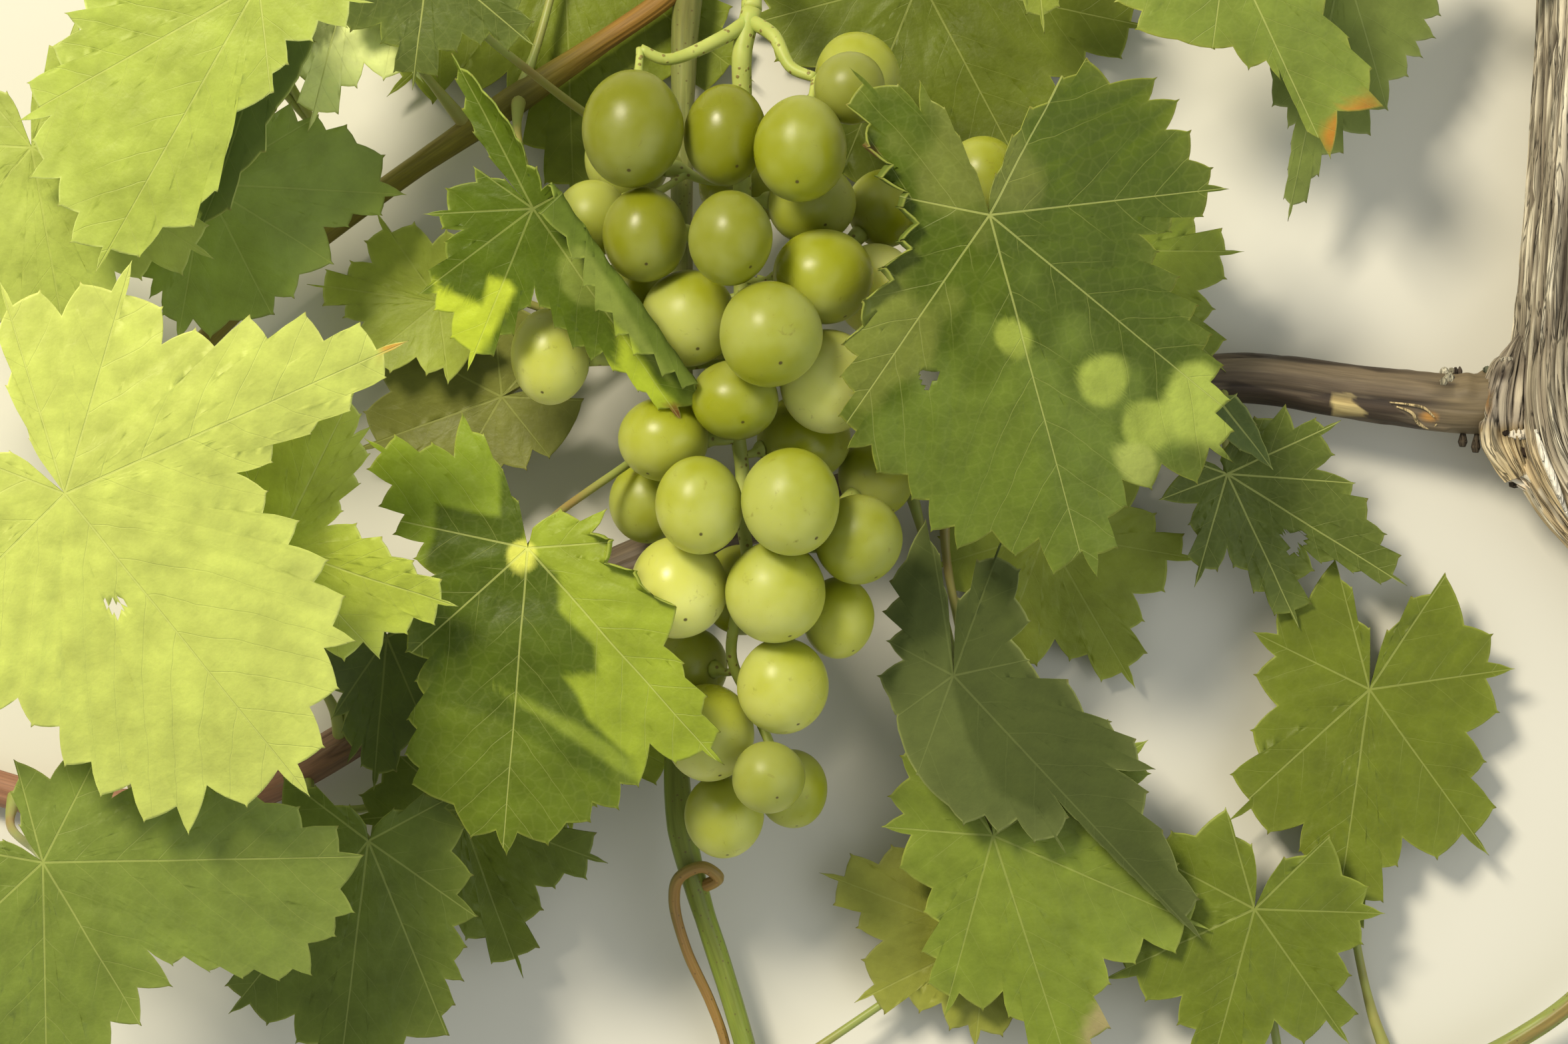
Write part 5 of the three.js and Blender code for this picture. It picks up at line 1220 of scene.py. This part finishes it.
        at=(-62, -55, 16), heading=-70, edge=vine_edge(34, left=1, right=0.9), pitch=9, size=34,
        slope=(-0.1, 0), ripple=1.2, shares_node="leaf_bottom_left", bearer="arm", near=(-92, -47),
        via=[(-68, -52, 13), (-82, -55, 12), (-90, -54, 13)], green="#667520", rim="#8c9744",
        clearness=0.35),
    "leaf_behind_centre": dict(
        at=(-46, -34, 5.5), heading=-28, edge=vine_edge(30), pitch=9, size=30, slope=(-0.03, 0),
        fold=(-0.02, -0.02), bow=0, ripple=0.8, bearer="arm", near=(-54, -21), via=[(-50, -28, 7)],
        green="#a5b434", rim="#c3ce5c", clearness=0.35),
    "leaf_behind_left": dict(
        at=(-66, 42, 19), heading=172, edge=vine_edge(25, left=0.9, right=0.9), pitch=8, size=25,
        slope=(-0.05, 0), ripple=1, bearer="shoot_up", near=(-19.5, 38),
        via=[(-54, 43, 15), (-40, 39, 10.5), (-26, 38, 8)], green="#a3b044", rim="#c6cf70", clearness=0.4),
    "leaf_olive_left": dict(
        at=(-54, 24, 13), heading=-160, edge=vine_edge(30, left=0.7, right=0.9, cut=0.8), pitch=9,
        size=30, slope=(-0.05, 0), ripple=1, shares_node="leaf_behind_left", bearer="shoot_up",
        near=(-19.5, 38), via=[(-44, 31, 10), (-34, 37, 8.5), (-26, 38, 8)], green="#7c8038",
        rim="#a3a65c", clearness=0.4),
}


def at_angle(angle, reach):
    return np.array([reach * math.cos(math.radians(angle)), reach * math.sin(math.radians(angle))])


def toothed(leaf):
    """The corners of the toothed edge with, for each, whether it is a tooth's tip.

    Teeth lean towards the tip of their lobe, and no two are quite alike.
    """
    uneven = np.random.default_rng(round(100 * leaf["size"] + abs(leaf["at"][0])))
    angles, reaches, tips = [], [], []
    for i, (start, end) in enumerate(zip(leaf["edge"], leaf["edge"][1:])):
        origin = at_angle(*start)
        span = at_angle(*end) - origin
        length = np.linalg.norm(span)
        out = np.array([span[1], -span[0]]) / length
        middle = origin + span / 2
        sweep = abs(out @ middle) / np.linalg.norm(middle)
        teeth = max(1, round(length / (TOOTH_SHARE * leaf["pitch"])))
        halves = 2 * teeth - 1
        lean = -TOOTH_LEAN if i % 2 else TOOTH_LEAN
        for k in range(halves):
            is_tip = k % 2 == (0 if i % 2 else 1)
            stray = uneven.uniform(-0.15, 0.15) + (lean if is_tip else 0)
            share = (k + stray) / halves if k else 0
            point = origin + span * share + out * LOBE_SWELL * length * math.sin(math.pi * share)
            depth = TOOTH_DEPTH * (0.3 + 0.7 * sweep) * length / teeth * uneven.uniform(0.75, 1.15)
            if k:
                point = point + out * (0.22 * depth if is_tip else -depth)
            turned = math.degrees(math.atan2(point[1], point[0])) - start[0]
            angles.append(start[0] + turned - 360 * math.floor(turned / 360 + 0.5))
            reaches.append(np.linalg.norm(point))
            tips.append(is_tip)
    angles.append(leaf["edge"][-1][0])
    reaches.append(leaf["edge"][-1][1])
    tips.append(False)
    for i in range(1, len(angles)):
        angles[i] = max(angles[i], angles[i - 1] + 0.3)
    return np.array([at_angle(*pair) for pair in zip(angles, reaches)]), tips


def fine_edge(leaf, spacing):
    """The same edge with rounded sides to its teeth and a small point on each: angles, reaches and tips."""
    corners, tips = toothed(leaf)
    points, pointed = [], []
    for i, (start, end) in enumerate(zip(corners, corners[1:])):
        span = end - start
        length = np.linalg.norm(span)
        out = np.array([span[1], -span[0]]) / length
        if tips[i] and i > 0:
            point_out = start - (corners[i - 1] + end) / 2
            points.append(start + point_out / np.linalg.norm(point_out) * TOOTH_POINT)
        else:
            points.append(start)
        pointed.append(tips[i])
        steps = max(2, round(length / spacing))
        shares = [k / steps for k in range(1, steps)]
        if tips[i]:
            shares.insert(0, min(POINT_LENGTH / length, 0.1))
        if tips[i + 1]:
            shares.append(1 - min(POINT_LENGTH / length, 0.1))
        for share in shares:
            points.append(start + span * share + out * TOOTH_BULGE * length * 4 * share * (1 - share))
            pointed.append(False)
    points.append(corners[-1])
    pointed.append(False)
    points = np.array(points)
    angles = np.degrees(np.unwrap(np.arctan2(points[:, 1], points[:, 0])))
    angles += leaf["edge"][0][0] - angles[0]
    for i in range(1, len(angles)):
        angles[i] = max(angles[i], angles[i - 1] + 0.02)
    return angles, np.linalg.norm(points, axis=1), np.array(pointed)


def main_veins(leaf):
    """Angle and length of each main vein: as given, or the lobe tips that reach far and stand apart."""
    if "veins" in leaf:
        return leaf["veins"]
    chosen = []
    for angle, reach in sorted(leaf["edge"][1::2], key=lambda tip: -tip[1]):
        if all(abs(angle - other) >= VEIN_SPREAD for other, _ in chosen):
            chosen.append((angle, reach))
    return sorted(chosen)


def rolled(beyond, radius, most):
    """How far points beyond a fold line move along and rise where the blade rolls up from it."""
    turned = np.minimum(beyond / radius, most)
    rest = beyond - turned * radius
    flat = radius * np.sin(turned) + rest * np.cos(turned)
    return flat - beyond, radius * (1 - np.cos(turned)) + rest * np.sin(turned)


def on_blade(leaf, u, v):
    """Drawn places of blade points, once the blade is bent over, sloped, folded, bowed and rippled."""
    along, across, rise = u.copy(), v.copy(), np.zeros_like(u)
    for bend in leaf["bends"]:
        nx, ny = at_angle(bend["toward"], 1)
        beyond = np.maximum(u * nx + v * ny - bend["from"], 0)
        moved, risen = rolled(beyond, bend["radius"], math.radians(bend["turn"]))
        along += nx * moved
        across += ny * moved
        rise += risen
    for curl in leaf["curled"]:
        angle = np.degrees(np.arctan2(v, u))
        reach = np.hypot(u, v)
        margin = np.interp(angle, leaf["edge_angles"], leaf["edge_reaches"])
        middle_angle, half = (curl["from"] + curl["to"]) / 2, (curl["to"] - curl["from"]) / 2
        window = np.clip((1 - np.abs(angle - middle_angle) / half) * 4, 0, 1)
        beyond = np.maximum(reach - (margin - curl["width"]), 0) * window
        moved, risen = rolled(beyond, curl["radius"], CURL_TURN)
        reach = np.maximum(reach, 1e-6)
        along += u / reach * moved
        across += v / reach * moved
        rise += risen
    size = leaf["size"]
    slope_along, slope_across = leaf["slope"]
    rise += slope_along * along + slope_across * across
    rise += np.where(v < 0, leaf["fold"][1], leaf["fold"][0]) * (np.sqrt(across * across + 4) - 2)
    rise += leaf["bow"] * size * (u / size) ** 2
    share = np.hypot(u, v) / size
    rise += leaf["ripple"] * share**2 * np.sin(5 * np.arctan2(v, u) + leaf["phase"])
    heading = math.radians(leaf["heading"])
    x, y, z = leaf["at"]
    return np.stack([
        x + along * math.cos(heading) - across * math.sin(heading),
        y + along * math.sin(heading) + across * math.cos(heading),
        z + rise,
    ], axis=-1)


def vein_place(u, v, angle, length, pitch):
    """Where points lie by a main vein: distance to its left, count of side veins up it, taper left."""
    turn = np.arctan2(v, u) - math.radians(angle)
    reach = np.hypot(u, v)
    up = reach * np.cos(turn)
    aside = reach * np.sin(turn)
    side_count = (up - 0.95 * np.abs(aside) - 0.014 * aside**2) / pitch
    return np.stack([aside, side_count, np.clip(1 - up / length, 0, 1)], axis=-1)


def within(places, outline):
    """1 inside an outline, falling to 0 over EDGE_BLUR across its line."""
    x, y = places[:, 0], places[:, 1]
    inside = np.zeros(len(x), dtype=bool)
    apart = np.full(len(x), np.inf)
    for (x0, y0), (x1, y1) in zip(outline, outline[1:] + outline[:1]):
        if y0 != y1:
            inside ^= ((y0 > y) != (y1 > y)) & (x < x0 + (x1 - x0) * (y - y0) / (y1 - y0))
        length_squared = (x1 - x0) ** 2 + (y1 - y0) ** 2
        share = np.clip(((x - x0) * (x1 - x0) + (y - y0) * (y1 - y0)) / length_squared, 0, 1)
        apart = np.minimum(apart, np.hypot(x - x0 - share * (x1 - x0), y - y0 - share * (y1 - y0)))
    return np.clip(0.5 + np.where(inside, apart, -apart) / EDGE_BLUR, 0, 1)


def leaf_blade(leaf):
    """A leaf's blade as a closed thin shell, with what its materials read at each corner."""
    size = leaf["size"]
    step = CLOSE_STEP if leaf["close"] else FAR_STEP
    angles, reaches, pointed = fine_edge(leaf, step)
    veins = main_veins(leaf)
    parting = [(a + b) / 2 for (a, _), (b, _) in zip(veins, veins[1:])]
    for angle in [angle for angle, _ in veins] + parting:
        i = int(np.searchsorted(angles, angle))
        if i == 0 or i == len(angles) or min(angles[i] - angle, angle - angles[i - 1]) < 0.02:
            continue
        share = (angle - angles[i - 1]) / (angles[i] - angles[i - 1])
        reach = reaches[i - 1] + (reaches[i] - reaches[i - 1]) * share
        angles, reaches = np.insert(angles, i, angle), np.insert(reaches, i, reach)
        pointed = np.insert(pointed, i, False)
    rays = len(angles)
    rings = max(12, int(size / step))
    leaf = {**leaf, "edge_angles": angles, "edge_reaches": reaches}
    edge = np.stack([reaches * np.cos(np.radians(angles)), reaches * np.sin(np.radians(angles))], axis=1)
    inner = np.maximum(1 - RIM / reaches, 0.5)
    base = (np.arange(1, rings + 1) / rings) ** 0.9
    shares = np.vstack([base[:, None] * inner[None, :], np.ones((1, rays))])
    flat = np.vstack([np.zeros((1, 2)), (shares[:, :, None] * edge[None]).reshape(-1, 2)])
    u, v = flat[:, 0], flat[:, 1]
    count = len(flat)

    vein_angles = np.array([angle for angle, _ in veins])
    middle_angle = (angles[1:] + angles[:-1]) / 2
    sector = np.argmin(np.abs(middle_angle[:, None] - vein_angles), axis=1)
    pitch = SIDE_VEIN_SHARE * size
    nearest = np.argmin(np.abs(angles[:, None] - vein_angles), axis=1)
    nearest = np.concatenate([[0], np.tile(nearest, rings + 1)])
    by_vein = np.zeros((count, 3))
    for k, (angle, length) in enumerate(veins):
        chosen = nearest == k
        by_vein[chosen] = vein_place(u[chosen], v[chosen], angle, length, pitch)
    aside, side_count, taper = by_vein.T
    pillow = np.abs(np.sin(math.pi * side_count)) * (1 - np.exp(-((aside / 2.4) ** 2)))
    flat_turn = (u + 100) * math.pi / 100
    creases = strips(flat_turn, v + 100, 70, 3, 61)
    waves = strips(flat_turn, v + 100, 22, 9, 62)
    wrinkle = leaf["wrinkle"] * np.clip(np.hypot(u, v) / 8, 0, 1)
    pucker = PUCKER * pillow + wrinkle * (0.1 * creases + 0.3 * waves)
    rib = 0.5 * np.exp(-((aside / 0.7) ** 2)) * taper

    drawn = on_blade(leaf, u, v)
    middle = seen(drawn)
    ahead = seen(on_blade(leaf, u + 0.4, v)) - middle
    beside = seen(on_blade(leaf, u, v + 0.4)) - middle
    up = np.cross(ahead, beside)
    up /= np.linalg.norm(up, axis=1, keepdims=True)
    tops = middle + up * (BLADE / 2 + pucker)[:, None]
    unders = middle + up * (pucker - BLADE / 2 - rib)[:, None]

    # Quads between rays i and i+1 and rings j and j+1, and a fan round the middle, less those in a hole.
    ray, ring = np.meshgrid(np.arange(rays - 1), np.arange(rings), indexing="ij")
    near = 1 + ring * rays + ray
    quads = np.stack([near, near + rays, near + rays + 1, near + 1], axis=-1).reshape(-1, 4)
    quad_sector = np.repeat(sector, rings)
    kept = np.ones(len(quads), dtype=bool)
    for x, y, radius in leaf["holes"]:
        centres = drawn[quads].mean(axis=1)
        wobble = 1 + 0.25 * np.sin(3 * np.arctan2(centres[:, 1] - y, centres[:, 0] - x))
        kept &= np.hypot(centres[:, 0] - x, centres[:, 1] - y) > radius * wobble
    quads, quad_sector = quads[kept], quad_sector[kept]
    fan = np.stack([np.zeros(rays - 1, int), 1 + np.arange(rays - 1), 2 + np.arange(rays - 1)], axis=1)
    sides = [quads[:, [0, 1]], quads[:, [1, 2]], quads[:, [2, 3]], quads[:, [3, 0]],
             fan[:, [0, 1]], fan[:, [1, 2]], fan[:, [2, 0]]]
    owners = [quad_sector] * 4 + [sector] * 3
    edges, owners = np.vstack(sides), np.concatenate(owners)
    keys = edges[:, 0] * count + edges[:, 1]
    reverse = edges[:, 1] * count + edges[:, 0]
    lone = ~np.isin(keys, reverse)
    wall_from, wall_to = edges[lone].T
    walls = np.stack([wall_to, wall_from, wall_from + count, wall_to + count], axis=1)
    faces = [quads, quads[:, ::-1] + count, walls, fan, fan[:, ::-1] + count]
    sectors = [quad_sector, quad_sector, owners[lone], sector, sector]
    sides = np.repeat([0, 1, 1, 0, 1], [len(group) for group in faces])
    limits = [angles[0], *parting, angles[-1]]
    corner_angle = np.concatenate([[0], np.tile(angles, rings + 1)])
    corner_index = np.concatenate([face.ravel() for face in faces]) % count
    corner_sector = np.concatenate([np.repeat(which, face.shape[1]) for which, face in zip(sectors, faces)])
    placed = np.zeros((len(corner_index), 3))
    parted = np.zeros(len(corner_index))
    for k, (angle, length) in enumerate(veins):
        chosen = corner_sector == k
        at = corner_index[chosen]
        placed[chosen] = vein_place(u[at], v[at], angle, length, pitch)
        turned = corner_angle[at] - angle
        parted[chosen] = turned / np.where(turned > 0, limits[k + 1] - angle, limits[k] - angle)

    rim_share = np.concatenate([[0], np.repeat([0] * rings + [1], rays)])
    tip_share = np.concatenate([[False], np.tile(pointed, rings + 1)]) * rim_share
    near_edge = np.concatenate([[0], shares.ravel()])
    patches = [(leaf["rim"], np.clip((near_edge - 0.86) / 0.14, 0, 1) * EDGE_GLOW)]
    # The patches carry painted sun, shadow and sheen as well as the leaves' own spots.
    for code, *where, strength in leaf["patches"]:
        if len(where) == 1:
            patches.append((code, within(drawn, where[0]) * strength))
            continue
        x, y, radius = where
        apart = np.hypot(drawn[:, 0] - x, drawn[:, 1] - y) / radius
        wobble = 1 + 0.3 * np.sin(0.35 * drawn[:, 0] + y) * np.cos(0.31 * drawn[:, 1] + x)
        patches.append((code, np.clip((1.15 - apart * wobble) * 3, 0, 1) * strength))
    patches += [(leaf["rim"], rim_share * 0.75), ("#7a5a2a", tip_share * 0.5)]
    colours = tinted(leaf["green"], patches)
    return {
        "corners": np.vstack([tops, unders]),
        "faces": [tuple(face) for group in faces for face in group.tolist()],
        "slots": sides,
        "vein_place": placed,
        "parted": np.clip(parted, 0, 1),
        "blade_place": np.stack([u, v], axis=1)[corner_index] / 100 + 0.5,
        "colours": np.vstack([colours, colours]),
    }


# Leaf upper side: a thin waxy skin over deep green, with a soft shine. Main veins are about 1 mm wide at
# the stalk and a hair at the tip, side veins 0.3 mm, and the net between them has meshes of about 2.5 mm.
NET_WIDTH = 2.4


def leaf_material(name, vein_code, vein_share, net_share, roughness, shine, down, bump_sign):
    """One side of a leaf, from the veins' place and the colour that the mesh carries."""
    made, tree = new_material(name)
    tint = node(tree, "Attribute", attribute_name="tint").outputs["Color"]
    by_vein = node(tree, "Attribute", attribute_name="vein_place").outputs["Vector"]
    parted = node(tree, "Attribute", attribute_name="parted").outputs["Fac"]
    parts = node(tree, "SeparateXYZ", {"Vector": by_vein})
    aside = node(tree, "Math", {0: parts.outputs["X"]}, operation="ABSOLUTE")
    place = node(tree, "TexCoord").outputs["Object"]
    drift = node(tree, "TexNoise", {"Vector": place, "Scale": 90.0, "Detail": 2.0})
    wandering = node(tree, "Math", {0: drift, 1: 0.42, 2: parts.outputs["Y"]}, operation="MULTIPLY_ADD")
    from_side = node(tree, "Math", {0: wandering, 1: 0.5}, operation="PINGPONG")
    width = node(tree, "Math", {0: parts.outputs["Z"], 1: 0.13, 2: 0.04}, operation="MULTIPLY_ADD")
    outer = node(tree, "Math", {0: width, 1: 0.12}, operation="ADD")
    main = node(tree, "MapRange", {
        "Value": aside, "From Min": width, "From Max": outer, "To Min": 1.0, "To Max": 0.0},
        interpolation_type="SMOOTHSTEP")
    side = node(tree, "MapRange", {
        "Value": from_side, "From Min": 0.004, "From Max": 0.026, "To Min": 0.42, "To Max": 0.0},
        interpolation_type="SMOOTHSTEP")
    fading = node(tree, "MapRange", {
        "Value": parted, "From Min": 0.45, "From Max": 0.92, "To Min": 1.0, "To Max": 0.0})
    faded = node(tree, "Math", {0: side, 1: fading}, operation="MULTIPLY")
    blade = node(tree, "UVMap", uv_map="Blade").outputs["UV"]
    net = node(tree, "TexVoronoi", {
        "Vector": blade, "Scale": 100 / NET_WIDTH, "Randomness": 0.9}, voronoi_dimensions="2D",
        feature="DISTANCE_TO_EDGE")
    net_line = node(tree, "MapRange", {
        "Value": net, "From Min": 0.01, "From Max": 0.14, "To Min": net_share, "To Max": 0.0})
    veins = node(tree, "Math", {0: main, 1: faded}, operation="MAXIMUM")
    all_veins = node(tree, "Math", {0: veins, 1: net_line}, operation="MAXIMUM")
    clearness = node(tree, "Attribute", attribute_name="vein_clearness").outputs["Fac"]
    shown = node(tree, "Math", {0: all_veins, 1: clearness}, operation="MULTIPLY")
    mottle = node(tree, "TexNoise", {"Vector": place, "Scale": 130.0, "Detail": 4.0, "Roughness": 0.6})
    mottle_shade = node(tree, "MapRange", {
        "Value": mottle, "From Min": 0.3, "From Max": 0.7, "To Min": 0.82, "To Max": 1.14})
    blotched = node(tree, "VectorMath", {0: tint, 1: mottle_shade}, operation="MULTIPLY")
    pale = node(tree, "Mix", {0: vein_share, 6: blotched, 7: srgb(vein_code)}, data_type="RGBA")
    coloured = node(tree, "Mix", {0: shown, 6: blotched, 7: pale}, data_type="RGBA")
    downy = node(tree, "Mix", {0: down, 6: coloured, 7: srgb("#8d9a60")}, data_type="RGBA")
    leather = node(tree, "TexNoise", {"Vector": place, "Scale": 650.0, "Detail": 3.0, "Roughness": 0.6})
    rough = node(tree, "Math", {0: leather, 1: 0.9, 2: mottle}, operation="MULTIPLY_ADD")
    relief = node(tree, "Math", {0: shown, 1: bump_sign, 2: rough}, operation="MULTIPLY_ADD")
    leaf_bump = node(tree, "Bump", {"Height": relief, "Strength": 0.55, "Distance": 0.25 * MM})
    skin = node(tree, "BsdfPrincipled", {
        "Base Color": downy, "Roughness": roughness, "Specular IOR Level": shine, "Normal": leaf_bump})
    through = node(tree, "VectorMath", {0: downy, 1: (1.25, 1.35, 0.5)}, operation="MULTIPLY")
    lit_through = node(tree, "BsdfTranslucent", {"Color": through, "Normal": leaf_bump})
    both = node(tree, "MixShader", {0: 0.22, 1: skin, 2: lit_through})
    node(tree, "OutputMaterial", {"Surface": both})
    return made


upper_side = leaf_material("waxy_leaf_upper_side", "#cdd47a", 0.5, 0.07, 0.48, 0.28, 0.0, -1.0)
# The underside is dull and felted, with ribs that stand out paler than the blade.
under_side = leaf_material("downy_leaf_underside", "#b3bd74", 0.5, 0.05, 0.85, 0.2, 0.15, 1.4)

# Leaf stalk skin: waxy green, flushed brown-pink where it has had the sun, drawn as random patches.
leaf_stalk_skin, tree = new_material("leaf_stalk_skin")
tint = node(tree, "Attribute", attribute_name="tint").outputs["Color"]
place = node(tree, "TexCoord").outputs["Object"]
flush = node(tree, "TexNoise", {"Vector": place, "Scale": 55.0, "Detail": 3.0})
flush_share = node(tree, "MapRange", {
    "Value": flush, "From Min": 0.45, "From Max": 0.7, "To Min": 0.0, "To Max": 0.6})
flushed = node(tree, "Mix", {0: flush_share, 6: tint, 7: srgb("#9a6e48")}, data_type="RGBA")
stalk_shader = node(tree, "BsdfPrincipled", {
    "Base Color": flushed, "Roughness": 0.45, "Specular IOR Level": 0.4, "Subsurface Weight": 0.1,
    "Subsurface Scale": 0.8 * MM})
node(tree, "OutputMaterial", {"Surface": stalk_shader})

BEARERS = {"arm": ARM, "side_cane": SIDE_CANE, **{name: shoot["points"] for name, shoot in SHOOTS.items()}}


def leaf_stalk(leaf):
    """A leaf's round stalk, from under its blade to the middle of the limb that bears it."""
    bearer = curve(seen(BEARERS[leaf["bearer"]]), 121)[0]
    end = bearer[np.argmin(np.hypot(*(looks(bearer) - np.array(leaf["near"])).T))]
    start = seen(leaf["at"]) - np.array([0, 0, STALK_SINK])
    path = [start, *[seen(point) for point in leaf["via"]], end]
    thick = leaf["petiole"]
    return tube(path, [0.62 * thick, 0.72 * thick, 0.75 * thick, 0.8 * thick, 1.5 * thick], 12, 36)


for name, own_leaf in LEAVES.items():
    if "shares_node" in own_leaf:
        continue
    shapes, slots, by_vein, parted, blade_places, colours, clearness = [], [], [], [], [], [], []
    for rows in [own_leaf] + [other for other in LEAVES.values() if other.get("shares_node") == name]:
        leaf = {**PLAIN_LEAF, **rows}
        blade = leaf_blade(leaf)
        stalk_corners, stalk_faces = leaf_stalk(leaf)
        stalk_loops = sum(len(face) for face in stalk_faces)
        shapes += [(blade["corners"], blade["faces"]), (stalk_corners, stalk_faces)]
        sides = 1 - blade["slots"] if leaf["underside_up"] else blade["slots"]
        slots += [sides, np.full(len(stalk_faces), 2)]
        by_vein += [blade["vein_place"], np.zeros((stalk_loops, 3))]
        parted += [blade["parted"], np.zeros(stalk_loops)]
        blade_places += [blade["blade_place"], np.zeros((stalk_loops, 2))]
        colours += [blade["colours"], np.tile(srgb(STALK_TINT), (len(stalk_corners), 1))]
        clearness.append(np.full(len(blade["corners"]) + len(stalk_corners), leaf["clearness"]))
    piece = mesh_piece(f"{name}_blade", *fused(shapes))
    piece.data.polygons.foreach_set("material_index", np.concatenate(slots).astype(np.int32))
    layer = piece.data.uv_layers.new(name="Blade")
    layer.data.foreach_set("uv", np.vstack(blade_places).astype(np.float32).ravel())
    give(piece.data, "vein_place", "FLOAT_VECTOR", "CORNER", np.vstack(by_vein))
    give(piece.data, "parted", "FLOAT", "CORNER", np.concatenate(parted))
    give(piece.data, "tint", "FLOAT_COLOR", "POINT", np.vstack(colours))
    give(piece.data, "vein_clearness", "FLOAT", "POINT", np.concatenate(clearness))
    finished(piece, "leaf", name, upper_side, under_side, leaf_stalk_skin)


# The floor and the light: a pale warm floor, a large soft lamp high at the upper left, a weaker one from
# the right, and an even pale sky.
FLOOR_SIDE = 6
floor_paint, tree = new_material("matt_floor_paint")
floor_shader = node(tree, "BsdfPrincipled", {
    "Base Color": srgb("#d8d6c9"), "Roughness": 0.9, "Specular IOR Level": 0.1})
node(tree, "OutputMaterial", {"Surface": floor_shader})
bpy.ops.mesh.primitive_plane_add(size=FLOOR_SIDE)
floor = bpy.context.object
floor.name = "floor"
floor.data.materials.append(floor_paint)

LAMPS = {
    "key_lamp": dict(place=(-0.55, 0.65, 1.0), size=0.3, power=19.0, colour="#fff4de"),
    "fill_lamp": dict(place=(0.9, -0.3, 1.0), size=1.2, power=5.0, colour="#f2f6ff"),
}
for name, lamp in LAMPS.items():
    light = bpy.data.lights.new(name, "AREA")
    light.size = lamp["size"]
    light.energy = lamp["power"]
    light.color = srgb(lamp["colour"])[:3]
    holder = bpy.data.objects.new(name, light)
    bpy.context.scene.collection.objects.link(holder)
    holder.location = lamp["place"]
    holder.rotation_euler = Vector(lamp["place"]).to_track_quat("Z", "Y").to_euler()
world = bpy.data.worlds.new("pale_sky")
world.use_nodes = True
world.node_tree.nodes.clear()
sky = node(world.node_tree, "Background", {"Color": srgb("#f4f5ee"), "Strength": 0.5})
node(world.node_tree, "OutputWorld", {"Surface": sky})
bpy.context.scene.world = world
bpy.context.scene.view_settings.view_transform = "Standard"
